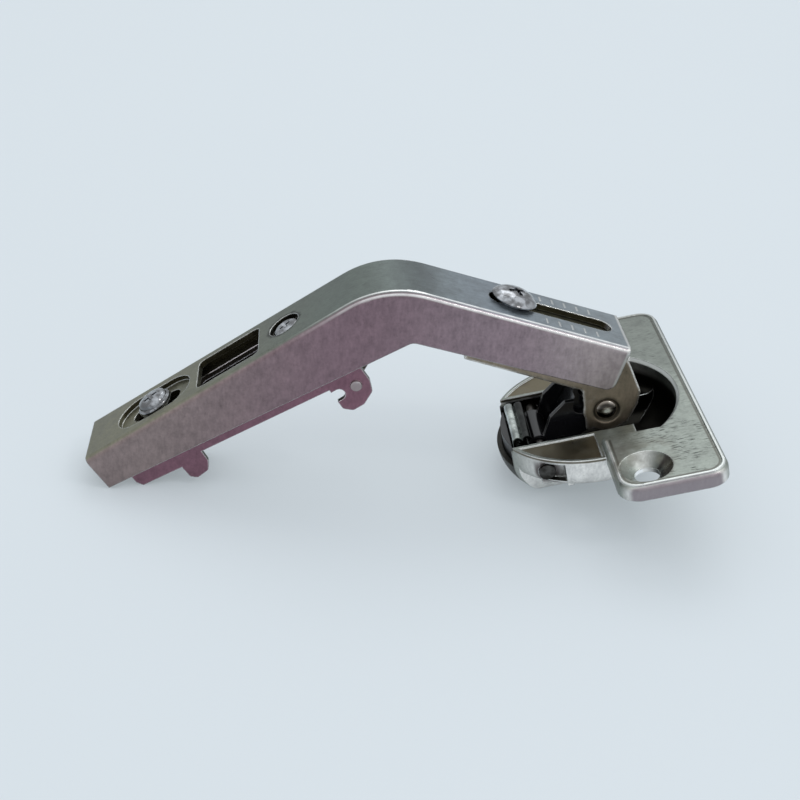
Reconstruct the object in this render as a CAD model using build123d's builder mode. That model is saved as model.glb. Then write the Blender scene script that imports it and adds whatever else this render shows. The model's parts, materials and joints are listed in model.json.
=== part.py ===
from build123d import *

import os
from math import asin, atan2, cos, degrees, hypot, radians, sin, sqrt

# Corner cabinet hinge: a 35 mm drilled-in cup, two crossed links, a short arm carrying the nose,
# and a bent outer arm that clips to the cabinet. It is modelled as it lies on a table, sprung shut.
# Millimetres, +Z up, +X from the bent arm towards the cup, +Y along the hinge pins.
# Side places (u, n): u across the door, n out of it, from a point on the rim's plane that is
# 17.5 mm inside the cup's round wall. The mechanism starts at that wall, whatever the radius.

# Cup and screw flange
CUP_WALL = -17.5
CUP_RADIUS = 17.5
CUP_DEPTH = 11.0
CUP_SHEET = 1.0
CUP_FLOOR_ROUND = 6.5
TROUGH_HALF = 9.5
TROUGH_ROUND = 3.5
TROUGH_FLAT = 0.05
SHOULDER_DEPTH = 6.0
SHOULDER_ROUND = 2.5
LEDGE_SINK = 0.3
RIM_WIDTH = 0.6
WELL_SLOPE = 0.6
MOUTH_HALF = 8.6
LEDGE_END = 7.0
NOTCH_HALF = 8.0
NOTCH_DEPTH = 4.4
FLANGE_NEAR = 0.3
FLANGE_LIP = 1.95
FLANGE_HALF = 30.0
FLANGE_TOP = 1.2
FLANGE_FOOT = -1.6
FLANGE_SHEET = 1.2
FLANGE_CORNER = 4.0
FLANGE_ROUND = 1.1
WELL_HALF = 12.4
SCREW_ROW_U = 6.0
SCREW_PITCH = 48.0
SCREW_HOLE_RADIUS = 2.2
DISH_RADIUS = 4.6
DISH_DEPTH = 1.9
DISH_BOSS_RADIUS = 5.4
POCKET_NEAR = 6.9
POCKET_FAR = 11.2
POCKET_TOP = -0.9
POCKET_FOOT = -4.6
POCKET_BACK = 15.4
POCKET_SINK = 0.05
POCKET_WALL = 1.2

# Pivots of the two links, as side places, and the turns at the first two from shut to open
CUP_PIVOT = (-10.0, -3.1)
INNER_PIVOT = (-5.8, -3.5)
NOSE_PIVOT = (2.9, 2.3)
TAIL_PIVOT = (0.0, 5.8)
CUP_TURN = 41.7
ARM_FOLD = 38.3

# Pins and rivets
CUP_PIN_RADIUS = 1.5
INNER_PIN_RADIUS = 1.0
NOSE_RIVET_RADIUS = 1.25
TAIL_PIN_RADIUS = 1.0
RUNNING_FIT = 0.05
PRESS_GAP = 0.01
PIN_STAND = 0.6
INNER_PIN_SEAT = 0.6
INNER_PIN_SHOULDER = 0.6
PASSING_GAP = 0.35
RIVET_HEAD_RADIUS = 1.9
RIVET_HEAD_HEIGHT = 0.7
RIVET_HEAD_SLOPE = 0.4
RIVET_RING_RADIUS = 2.4
RIVET_RING_DEPTH = 0.4
# The tail pin is where the four-bar loop is opened, so its hole takes the small loop error.
LOOP_PLAY = 0.45

# Links
LINK_SHEET = 1.0
OUTER_LINK_HALF = 4.7
OUTER_EYE_RADIUS = 2.1
NOSE_EYE_RADIUS = 2.5
OUTER_LINK_RISE = ((-7.3, 2.3), (-4.2, 4.8))
INNER_LINK_HALF = 3.2
INNER_EYE_RADIUS = 1.75
TAIL_EYE_RADIUS = 2.4
INNER_LINK_WIDTH = 2.7
TAIL_PIN_SEAT = 0.5

# Closing spring: a folded leaf in front of the cup pin
LEAF_SHEET = 0.6
LEAF_HALF = 6.2
LEAF_GAP = 0.25
LEAF_FOLD_TOP = -0.5
LEAF_FOLD_RADIUS = 0.6
LEAF_VALLEY_RADIUS = 0.3
LEAF_CORNER = -4.6
LEAF_FOOT = (-11.5, -6.4)
LEAF_END_U = -4.6

# Buffer in the round end of the cup
BUFFER_THICKNESS = 1.35
BUFFER_TOP = -1.2
BUFFER_FOOT = -5.0
BUFFER_GAP = 0.1

# Outer arm: a channel bent once, given by its two sections and the bend
SHUT_SLOPE = 29.0
BEND = 49.6
NOSE_END = (8.57, 14.36)
NOSE_SECTION = 45.8
FOOT_SECTION = 63.3
BEND_RADIUS = 17.0
ARM_HALF = 7.22
ARM_SHEET = 1.1
ARM_EDGE_ROUND = 1.2
ARM_END_DEPTH = 8.75
ARM_BEND_DEPTH = 9.35
ARM_BEND_PLACE = 37.6
ARM_FOOT_DEPTH = 7.05
ARM_CORNER_ROUND = 1.8
ARM_INNER_BEND_ROUND = 2.0

# Openings in the outer arm, by distance from the section's free end
SLOT_NEAR = 2.4
SLOT_FAR = 26.0
SLOT_WIDTH = 4.3
WINDOW_NEAR = 24.2
WINDOW_FAR = 37.4
WINDOW_HALF = 4.9
WINDOW_CORNER = 1.2
TRAY_NEAR = 6.6
TRAY_FAR = 22.4
TRAY_HALF = 4.6
TRAY_DEPTH = 1.0
TRAY_WALL = 0.5
TRAY_TRAVEL = 3.0

# Inner arm, which carries the nose and slides in the outer arm
SLIDE_GAP = 0.12
WEB_GAP = 0.15
INNER_SHEET = 1.0
INNER_NEAR = 0.9
INNER_FAR = 27.6
INNER_SKIRT = 1.1
NOSE_ROUND = 4.2
NOSE_OUTLINE = (
    (8.2, 10.6), (9.4, 5.0), (8.6, 2.4), (6.4, -0.9), (-1.2, -0.9), (-0.9, 7.4),
)

# Clip carrier, which slides in the foot section of the outer arm
CARRIER_SHEET = 1.0
CARRIER_NEAR = 4.2
CARRIER_FAR = 51.0
CARRIER_SKIRT = 2.0
CARRIER_DROP = 1.2
CARRIER_SLANT = 0.7
CARRIER_WINDOW_NEAR = 22.5
CARRIER_WINDOW_FAR = 38.5
CARRIER_WINDOW_HALF = 3.6
TAB = ((13.0, 13.8), (14.0, 14.8), (16.6, 14.5), (17.7, 12.9), (17.9, 10.0), (12.9, 9.0))
HOOK = ((43.9, 15.6), (43.9, 17.3), (45.3, 18.6), (47.6, 18.6), (50.2, 17.2), (51.0, 15.0))
HOOK_GAP = (44.9, 14.5)
HOOK_GAP_RADIUS = 1.1
PLATE_ROUND = 0.8
HOOK_RIVET = (48.4, 14.6)
HOOK_RIVET_RADIUS = 1.0
HOOK_RIVET_STAND = 0.3

# Screws: overlay screw in the long slot, depth screw in the tray, small adjusting screw
OVERLAY_PLACE = 21.4
OVERLAY_HEAD_RADIUS = 4.2
OVERLAY_HEAD_HEIGHT = 1.7
OVERLAY_HEAD_SLOPE = 1.3
OVERLAY_COLLAR_RADIUS = 3.2
OVERLAY_COLLAR_HEIGHT = 0.6
OVERLAY_SHANK_RADIUS = 2.0
OVERLAY_REACH = 7.6
DEPTH_PLACE = 14.5
DEPTH_HEAD_RADIUS = 3.4
DEPTH_HEAD_HEIGHT = 2.2
DEPTH_HEAD_SLOPE = 0.7
DEPTH_SHANK_RADIUS = 2.0
DEPTH_REACH = 6.8
SMALL_PLACE = 42.8
SMALL_HEAD_RADIUS = 2.5
SMALL_HEAD_HEIGHT = 0.9
SMALL_HEAD_SLOPE = 0.5
SMALL_HOLE_GAP = 0.5
SMALL_SHANK_RADIUS = 1.75
SMALL_REACH = 8.5
SCREW_SEAT_GAP = 0.05
NUT_SIDE = 7.6
NUT_HEIGHT = 2.2
NUT_CORNER = 0.8
BUSH_RADIUS = 3.4
RECESS_WIDTH = 1.1
RECESS_DEPTH = 1.2
RECESS_SPAN = 0.62
RECESS_TURN = 20.0
RECESS_SHARE = 0.8

# The hinge rests on the heel of the outer arm and on the round of the cup's floor.
ARM_RISE = BEND - SHUT_SLOPE


def along(end, rise, place, depth):
    """Side place at a distance from a section's free end and a depth under its top face."""
    a = radians(rise)
    return (
        end[0] + place * cos(a) + depth * sin(a) * (1 if cos(a) > 0 else -1),
        end[1] + place * sin(a) - depth * abs(cos(a)),
    )


def on_nose(place, depth):
    return along(NOSE_END, 180 - SHUT_SLOPE, place, depth)


VERTEX = on_nose(NOSE_SECTION, 0)
FOOT_END = (
    VERTEX[0] - FOOT_SECTION * cos(radians(ARM_RISE)),
    VERTEX[1] - FOOT_SECTION * sin(radians(ARM_RISE)),
)


def on_foot(place, depth):
    return along(FOOT_END, ARM_RISE, place, depth)


CUP_CENTRE = CUP_WALL + CUP_RADIUS
FLANGE_FAR = CUP_RADIUS + FLANGE_LIP
HEEL = on_foot(0, ARM_FOOT_DEPTH)
ROUND_CENTRE = (CUP_WALL + CUP_FLOOR_ROUND, CUP_FLOOR_ROUND - CUP_DEPTH)
REACH_U = ROUND_CENTRE[0] - HEEL[0]
REACH_N = ROUND_CENTRE[1] - HEEL[1]
TILT = asin(CUP_FLOOR_ROUND / hypot(REACH_U, REACH_N)) - atan2(REACH_N, REACH_U)
RIGHT_END = (CUP_CENTRE + FLANGE_FAR) * cos(TILT) - FLANGE_FOOT * sin(TILT)
LEFT_END = FOOT_END[0] * cos(TILT) - FOOT_END[1] * sin(TILT)
CENTRE_X = -(LEFT_END + RIGHT_END) / 2
CENTRE_Z = -(HEEL[0] * sin(TILT) + HEEL[1] * cos(TILT))

SIDE = Plane(origin=(CENTRE_X, 0, CENTRE_Z), x_dir=(cos(TILT), 0, sin(TILT)), z_dir=(0, -1, 0))
RIM_CENTRE = SIDE.from_local_coords((CUP_CENTRE, 0))
MOUTH = Plane(origin=RIM_CENTRE, x_dir=SIDE.x_dir, z_dir=SIDE.y_dir)
CUP_SIDE = Plane(origin=RIM_CENTRE, x_dir=SIDE.x_dir, z_dir=SIDE.z_dir)
CUP_AXIS = Axis(RIM_CENTRE, SIDE.y_dir)


def section_plane(end, rise):
    """Plane on a section's top face, with its x running from the free end to the bend."""
    origin = SIDE.from_local_coords(end)
    direction = SIDE.x_dir * cos(radians(rise)) + SIDE.y_dir * sin(radians(rise))
    tip = abs(cos(radians(rise)))
    sink = sin(radians(rise)) * (1 if cos(radians(rise)) > 0 else -1)
    normal = SIDE.y_dir * tip - SIDE.x_dir * sink
    return Plane(origin=origin, x_dir=direction, z_dir=normal)


NOSE_TOP = section_plane(NOSE_END, 180 - SHUT_SLOPE)
FOOT_TOP = section_plane(FOOT_END, ARM_RISE)


def polygon(points, mode=Mode.ADD):
    """Closed outline in the sketch in hand."""
    with BuildLine() as outline:
        Polyline(*points, close=True)
    make_face(outline.edges(), mode=mode)


def corner(sketch, point):
    """The corner of a sketch nearest to a side place."""
    return sketch.vertices().sort_by_distance(Vector(*point))[0]


def pin_path(centre, pin, pin_radius, turn):
    """Cut from the sketch in hand the path of a pin that passes around a pivot, with a gap."""
    across, up = pin[0] - centre[0], pin[1] - centre[1]
    with BuildLine() as path:
        CenterArc(centre, hypot(across, up), degrees(atan2(up, across)), turn)
    SlotArc(path.edges()[0], 2 * (pin_radius + PASSING_GAP), mode=Mode.SUBTRACT)


def bar(pivot, radius, half, near=0.0):
    """Round bar on a pivot along the pins, or a pair of them that starts off the middle."""
    with BuildPart() as made:
        for side in (1, -1) if near else (1,):
            with BuildSketch(SIDE.offset(side * near)):
                with Locations(pivot):
                    Circle(radius)
            extrude(amount=side * (half - near), both=not near)
    return made.part


def plate_pair(outline, outer_half, sheet):
    """Two equal side plates of an outline, with their outer faces a half width from the middle."""
    with BuildPart() as made:
        for side in (1, -1):
            with BuildSketch(SIDE.offset(side * (outer_half - sheet))):
                add(outline)
            extrude(amount=side * sheet)
    return made.part


def bowl(radius, top, depth, floor_round):
    """Solid bowl around the cup's axis."""
    with BuildPart() as made:
        with BuildSketch(CUP_SIDE) as half:
            polygon([(0, top), (radius, top), (radius, -depth), (0, -depth)])
            fillet(corner(half, (radius, -depth)), floor_round)
        revolve(axis=CUP_AXIS)
    return made.part


def cup_form(shrink):
    """The cup's outside, or its inside when shrunk by the sheet: a shoulder over a trough."""
    radius = CUP_RADIUS - shrink
    round_end = SIDE.from_local_coords((CUP_CENTRE - CUP_RADIUS, 0))
    across = Plane(origin=round_end, x_dir=(0, 1, 0), z_dir=SIDE.x_dir)
    with BuildPart() as trough:
        add(bowl(radius, -shrink, CUP_DEPTH - shrink, CUP_FLOOR_ROUND - shrink))
        with BuildSketch(across) as section:
            Rectangle(2 * (TROUGH_HALF - shrink), 2 * (CUP_DEPTH - TROUGH_FLAT - shrink))
            fillet(section.vertices(), TROUGH_ROUND - shrink)
        extrude(amount=2 * CUP_RADIUS, mode=Mode.INTERSECT)
    with BuildPart() as made:
        add(bowl(radius, -shrink, SHOULDER_DEPTH - shrink, SHOULDER_ROUND - shrink))
        add(trough.part)
    return made.part


def cup_block(near, far, low, high, inner, outer, mode):
    """Pair of blocks in or on the cup's walls, by side places and distance from the middle."""
    for side in (1, -1):
        with BuildSketch(SIDE.offset(side * inner)) as block:
            polygon([(near, low), (far, low), (far, high), (near, high)])
        extrude(block.sketch, amount=side * (outer - inner), mode=mode)


# Screw flange: a shallow tray with a raised boss and a dish at each screw
SCREW_PLACES = ((SCREW_ROW_U, SCREW_PITCH / 2), (SCREW_ROW_U, -SCREW_PITCH / 2))
FLANGE_WIDTH = FLANGE_FAR - FLANGE_NEAR
FLANGE_MIDDLE = (FLANGE_FAR + FLANGE_NEAR) / 2
with BuildPart() as flange:
    with BuildSketch(MOUTH.offset(FLANGE_FOOT)):
        with Locations((FLANGE_MIDDLE, 0)):
            RectangleRounded(FLANGE_WIDTH, 2 * FLANGE_HALF, FLANGE_CORNER)
    extrude(amount=FLANGE_TOP - FLANGE_FOOT)
    fillet(flange.faces().sort_by(CUP_AXIS)[-1].edges(), FLANGE_ROUND)
    with BuildSketch(MOUTH.offset(FLANGE_FOOT)):
        with Locations((FLANGE_MIDDLE, 0)):
            RectangleRounded(
                FLANGE_WIDTH - 2 * FLANGE_SHEET,
                2 * (FLANGE_HALF - FLANGE_SHEET),
                FLANGE_CORNER - FLANGE_SHEET,
            )
        with Locations(*SCREW_PLACES):
            Circle(DISH_BOSS_RADIUS, mode=Mode.SUBTRACT)
    extrude(amount=FLANGE_TOP - FLANGE_FOOT - FLANGE_SHEET, mode=Mode.SUBTRACT)
    for place_u, place_v in SCREW_PLACES:
        with BuildSketch(MOUTH.offset(FLANGE_FOOT)):
            with Locations((place_u, place_v)):
                Circle(SCREW_HOLE_RADIUS)
        extrude(amount=FLANGE_TOP - FLANGE_FOOT, mode=Mode.SUBTRACT)
        with BuildSketch(MOUTH.offset(FLANGE_TOP - DISH_DEPTH)):
            with Locations((place_u, place_v)):
                Circle(SCREW_HOLE_RADIUS)
        with BuildSketch(MOUTH.offset(FLANGE_TOP)):
            with Locations((place_u, place_v)):
                Circle(DISH_RADIUS)
        loft(mode=Mode.SUBTRACT)


def is_well_rim(edge):
    """Whether an edge is on the flange's top face, around the well."""
    spot = MOUTH.to_local_coords(edge.center())
    around = abs(spot.Y) < WELL_HALF + RIM_WIDTH and spot.X < CUP_RADIUS
    return around and abs(spot.Z - FLANGE_TOP) < RUNNING_FIT


# Cup: one drawn piece of shoulder, trough, ledges beside the mouth, well under the nose and flange
INNER_RADIUS = CUP_RADIUS - CUP_SHEET
POCKET_FLOOR = sqrt(CUP_RADIUS**2 - (POCKET_FAR + CUP_CENTRE) ** 2) - POCKET_SINK
INNER_PIN_HALF = POCKET_FLOOR - POCKET_WALL + INNER_PIN_SEAT
POCKET_PLATE_NEAR = INNER_PIVOT[0] + INNER_PIN_RADIUS + INNER_PIN_SHOULDER
with BuildPart() as hinge_cup:
    add(flange.part)
    add(cup_form(0))
    add(cup_form(CUP_SHEET), mode=Mode.SUBTRACT)
    with BuildSketch(MOUTH):
        with Locations((FLANGE_NEAR, 0)):
            Rectangle(2 * (LEDGE_END - FLANGE_NEAR), 2 * WELL_HALF)
    extrude(amount=2 * FLANGE_TOP, mode=Mode.SUBTRACT)
    with BuildSketch(MOUTH.offset(-CUP_SHEET)):
        Circle(INNER_RADIUS)
        with Locations((LEDGE_END + CUP_RADIUS / 2, 0)):
            Rectangle(CUP_RADIUS, 2 * WELL_HALF, mode=Mode.INTERSECT)
    extrude(amount=CUP_SHEET + 2 * FLANGE_TOP, mode=Mode.SUBTRACT)
    with BuildSketch(MOUTH.offset(-CUP_SHEET)):
        with Locations(((LEDGE_END - CUP_RADIUS) / 2, 0)):
            Rectangle(LEDGE_END + CUP_RADIUS + CUP_SHEET, 2 * MOUTH_HALF)
    extrude(amount=CUP_SHEET + 2 * FLANGE_TOP, mode=Mode.SUBTRACT)
    with BuildSketch(MOUTH.offset(-NOTCH_DEPTH)):
        with Locations((-CUP_RADIUS, 0)):
            Rectangle(CUP_RADIUS / 2, 2 * NOTCH_HALF)
    extrude(amount=2 * NOTCH_DEPTH, mode=Mode.SUBTRACT)
    with BuildSketch(MOUTH.offset(-LEDGE_SINK)):
        Circle(CUP_RADIUS - RIM_WIDTH)
        with Locations((FLANGE_NEAR - RIM_WIDTH - CUP_RADIUS, 0)):
            Rectangle(2 * CUP_RADIUS, 2 * CUP_RADIUS, mode=Mode.INTERSECT)
        Rectangle(2 * CUP_RADIUS, 2 * (MOUTH_HALF + RIM_WIDTH), mode=Mode.SUBTRACT)
    extrude(amount=2 * LEDGE_SINK, mode=Mode.SUBTRACT)
    cup_block(
        -POCKET_FAR, POCKET_PLATE_NEAR, POCKET_FOOT - POCKET_WALL, -CUP_SHEET / 2,
        POCKET_FLOOR - POCKET_WALL, POCKET_FLOOR, Mode.ADD,
    )
    cup_block(
        -POCKET_NEAR, -POCKET_NEAR + POCKET_WALL, POCKET_FOOT - POCKET_WALL, -CUP_SHEET / 2,
        POCKET_FLOOR - POCKET_WALL, POCKET_BACK, Mode.ADD,
    )
    cup_block(
        -POCKET_FAR - POCKET_WALL / 2, -POCKET_NEAR, POCKET_FOOT, POCKET_TOP,
        POCKET_FLOOR, CUP_RADIUS, Mode.SUBTRACT,
    )
    chamfer(hinge_cup.edges().filter_by(is_well_rim), WELL_SLOPE)
    add(bar(CUP_PIVOT, CUP_PIN_RADIUS + PRESS_GAP, CUP_RADIUS), mode=Mode.SUBTRACT)
    add(
        bar(INNER_PIVOT, INNER_PIN_RADIUS + PRESS_GAP, INNER_PIN_HALF + PRESS_GAP),
        mode=Mode.SUBTRACT,
    )

# Pins held by the cup
with BuildPart() as cup_pin:
    add(bar(CUP_PIVOT, CUP_PIN_RADIUS, POCKET_FLOOR + PIN_STAND))

with BuildPart() as link_pin:
    add(bar(INNER_PIVOT, INNER_PIN_RADIUS, INNER_PIN_HALF))

# Plastic buffer behind the notch in the round end of the cup, cut flat towards the spring
with BuildPart() as cup_buffer:
    with BuildSketch(MOUTH.offset(BUFFER_FOOT)):
        Circle(INNER_RADIUS - BUFFER_GAP)
        with Locations((BUFFER_THICKNESS - INNER_RADIUS - CUP_RADIUS, 0)):
            Rectangle(2 * CUP_RADIUS, 2 * CUP_RADIUS, mode=Mode.INTERSECT)
    extrude(amount=BUFFER_TOP - BUFFER_FOOT)

# Closing spring: a leaf folded twice in front of the cup pin, with its foot under the inner link
LEAF_LEFT = CUP_WALL + CUP_SHEET + BUFFER_THICKNESS + LEAF_GAP + LEAF_SHEET / 2
FOLD_ONE = LEAF_LEFT + 2 * LEAF_FOLD_RADIUS
VALLEY = FOLD_ONE + 2 * LEAF_VALLEY_RADIUS
FOLD_TWO = VALLEY + 2 * LEAF_FOLD_RADIUS
with BuildPart() as closing_spring:
    with BuildSketch(SIDE):
        with BuildLine() as leaf:
            foot = FilletPolyline(
                (LEAF_END_U, LEAF_FOOT[1]),
                LEAF_FOOT,
                (LEAF_LEFT, LEAF_CORNER),
                (LEAF_LEFT, LEAF_FOLD_TOP),
                radius=LEAF_SHEET,
            )
            ThreePointArc(
                (LEAF_LEFT, LEAF_FOLD_TOP),
                (LEAF_LEFT + LEAF_FOLD_RADIUS, LEAF_FOLD_TOP + LEAF_FOLD_RADIUS),
                (FOLD_ONE, LEAF_FOLD_TOP),
            )
            ThreePointArc(
                (FOLD_ONE, LEAF_FOLD_TOP),
                (FOLD_ONE + LEAF_VALLEY_RADIUS, LEAF_FOLD_TOP - LEAF_VALLEY_RADIUS),
                (VALLEY, LEAF_FOLD_TOP),
            )
            ThreePointArc(
                (VALLEY, LEAF_FOLD_TOP),
                (VALLEY + LEAF_FOLD_RADIUS, LEAF_FOLD_TOP + LEAF_FOLD_RADIUS),
                (FOLD_TWO, LEAF_FOLD_TOP),
            )
        trace(line_width=LEAF_SHEET)
    extrude(amount=LEAF_HALF, both=True)

# Outer link: a wide eye on the cup pin and two raised cheeks up to the nose rivet
with BuildSketch() as outer_link_side:
    a_u, a_n = CUP_PIVOT
    c_u, c_n = NOSE_PIVOT
    reach = hypot(c_u - a_u, c_n - a_n)
    across = (-(c_n - a_n) / reach, (c_u - a_u) / reach)
    polygon([
        (a_u + OUTER_EYE_RADIUS / 2, a_n + OUTER_EYE_RADIUS * sqrt(3) / 2),
        *OUTER_LINK_RISE,
        (c_u + across[0] * NOSE_EYE_RADIUS, c_n + across[1] * NOSE_EYE_RADIUS),
        (c_u - across[0] * NOSE_EYE_RADIUS, c_n - across[1] * NOSE_EYE_RADIUS),
        (a_u - across[0] * OUTER_EYE_RADIUS, a_n - across[1] * OUTER_EYE_RADIUS),
    ])
    with Locations(CUP_PIVOT):
        Circle(OUTER_EYE_RADIUS)
    with Locations(NOSE_PIVOT):
        Circle(NOSE_EYE_RADIUS)
    pin_path(NOSE_PIVOT, TAIL_PIVOT, TAIL_PIN_RADIUS, ARM_FOLD)
    pin_path(CUP_PIVOT, INNER_PIVOT, INNER_PIN_RADIUS, -CUP_TURN)
with BuildPart() as outer_link:
    add(plate_pair(outer_link_side.sketch, OUTER_LINK_HALF, LINK_SHEET))
    add(bar(CUP_PIVOT, OUTER_EYE_RADIUS, OUTER_LINK_HALF))
    add(bar(CUP_PIVOT, CUP_PIN_RADIUS + RUNNING_FIT, CUP_RADIUS), mode=Mode.SUBTRACT)
    add(bar(NOSE_PIVOT, NOSE_RIVET_RADIUS + RUNNING_FIT, CUP_RADIUS), mode=Mode.SUBTRACT)

# Inner link: a solid bar between the cheeks, with an eye at each end
TAIL_BORE_RADIUS = TAIL_PIN_RADIUS + LOOP_PLAY
with BuildPart() as inner_link:
    with BuildSketch(SIDE):
        with BuildLine():
            Line(INNER_PIVOT, TAIL_PIVOT)
        trace(line_width=INNER_LINK_WIDTH)
        with Locations(INNER_PIVOT):
            Circle(INNER_EYE_RADIUS)
        with Locations(TAIL_PIVOT):
            Circle(TAIL_EYE_RADIUS)
        with Locations(INNER_PIVOT):
            Circle(INNER_PIN_RADIUS + RUNNING_FIT, mode=Mode.SUBTRACT)
        with Locations(TAIL_PIVOT):
            Circle(TAIL_BORE_RADIUS, mode=Mode.SUBTRACT)
    extrude(amount=INNER_LINK_HALF, both=True)

# Outer arm
def vertex_at(depth):
    """Where the two section lines of one depth meet under the bend."""
    direction = radians((ARM_RISE - SHUT_SLOPE) / 2 - 90)
    away = depth / cos(radians(BEND / 2))
    return (VERTEX[0] + away * cos(direction), VERTEX[1] + away * sin(direction))


INNER_BEND = on_nose(ARM_BEND_PLACE, ARM_BEND_DEPTH)
CHANNEL_HALF = ARM_HALF - ARM_SHEET
CLEAR = 3 * ARM_BEND_DEPTH


def foot_place(point):
    """Distance from the foot section's free end, and depth, of a side place."""
    a = radians(ARM_RISE)
    across, down = point[0] - FOOT_END[0], FOOT_END[1] - point[1]
    return across * cos(a) - down * sin(a), across * sin(a) + down * cos(a)


def foot_depth(place):
    """Depth of the outer arm's lower edge at a place on the foot section."""
    bend_place, bend_depth = foot_place(INNER_BEND)
    return ARM_FOOT_DEPTH + (bend_depth - ARM_FOOT_DEPTH) * place / bend_place


def arm_channel(depth, radius):
    """Outline of all that lies under the arm's top at a depth."""
    near = -ARM_SHEET
    with BuildSketch() as made:
        polygon([
            on_foot(near, depth), vertex_at(depth), on_nose(near, depth),
            on_nose(near, CLEAR), on_foot(near, CLEAR),
        ])
        fillet(corner(made, vertex_at(depth)), radius)
    return made.sketch


def slot(plane, near, far, width, top, depth, mode):
    """Round-ended slot along a section, from a depth under its top face downwards."""
    with BuildSketch(plane.offset(-top)) as outline:
        with Locations(((near + far) / 2, 0)):
            SlotOverall(far - near, width)
    extrude(outline.sketch, amount=-depth, mode=mode)


TRAY_FLOOR = TRAY_DEPTH + ARM_SHEET
with BuildPart() as outer_arm:
    with BuildSketch(SIDE) as arm_side:
        polygon([
            FOOT_END, VERTEX, NOSE_END, on_nose(0, ARM_END_DEPTH), INNER_BEND, HEEL,
        ])
        fillet(corner(arm_side, VERTEX), BEND_RADIUS)
        fillet(corner(arm_side, INNER_BEND), ARM_INNER_BEND_ROUND)
        fillet(corner(arm_side, on_nose(0, ARM_END_DEPTH)), ARM_CORNER_ROUND)
    extrude(amount=ARM_HALF, both=True)
    top_edges = ShapeList()
    for place, plane in ((FOOT_SECTION / 2, FOOT_TOP), (NOSE_SECTION / 3, NOSE_TOP)):
        for side in (1, -1):
            spot = plane.from_local_coords((place, side * ARM_HALF, 0))
            top_edges.append(outer_arm.edges().sort_by_distance(spot)[0])
    bend_middle = radians((ARM_RISE - SHUT_SLOPE) / 2 - 90)
    bend_sag = BEND_RADIUS / cos(radians(BEND / 2)) - BEND_RADIUS
    for side in (1, -1):
        spot = SIDE.from_local_coords((
            VERTEX[0] + bend_sag * cos(bend_middle),
            VERTEX[1] + bend_sag * sin(bend_middle),
            side * ARM_HALF,
        ))
        top_edges.append(outer_arm.edges().sort_by_distance(spot)[0])
    fillet(top_edges, ARM_EDGE_ROUND)
    with BuildSketch(SIDE):
        add(arm_channel(ARM_SHEET, BEND_RADIUS - ARM_SHEET))
    extrude(amount=CHANNEL_HALF, both=True, mode=Mode.SUBTRACT)
    slot(NOSE_TOP, SLOT_NEAR, SLOT_FAR, SLOT_WIDTH, 0, 2 * ARM_SHEET, Mode.SUBTRACT)
    slot(
        FOOT_TOP, TRAY_NEAR - TRAY_WALL, TRAY_FAR + TRAY_WALL, 2 * (TRAY_HALF + TRAY_WALL),
        ARM_SHEET / 2, TRAY_FLOOR - ARM_SHEET / 2, Mode.ADD,
    )
    slot(FOOT_TOP, TRAY_NEAR, TRAY_FAR, 2 * TRAY_HALF, 0, TRAY_DEPTH, Mode.SUBTRACT)
    slot_reach = TRAY_TRAVEL + DEPTH_SHANK_RADIUS + SLIDE_GAP
    slot(
        FOOT_TOP, DEPTH_PLACE - slot_reach, DEPTH_PLACE + slot_reach,
        2 * (DEPTH_SHANK_RADIUS + SLIDE_GAP), 0, 2 * TRAY_FLOOR, Mode.SUBTRACT,
    )
    with BuildSketch(FOOT_TOP):
        with Locations(((WINDOW_NEAR + WINDOW_FAR) / 2, 0)):
            RectangleRounded(WINDOW_FAR - WINDOW_NEAR, 2 * WINDOW_HALF, WINDOW_CORNER)
        with Locations((SMALL_PLACE, 0)):
            Circle(SMALL_HEAD_RADIUS + SMALL_HOLE_GAP)
    extrude(amount=-2 * ARM_SHEET, mode=Mode.SUBTRACT)

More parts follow.
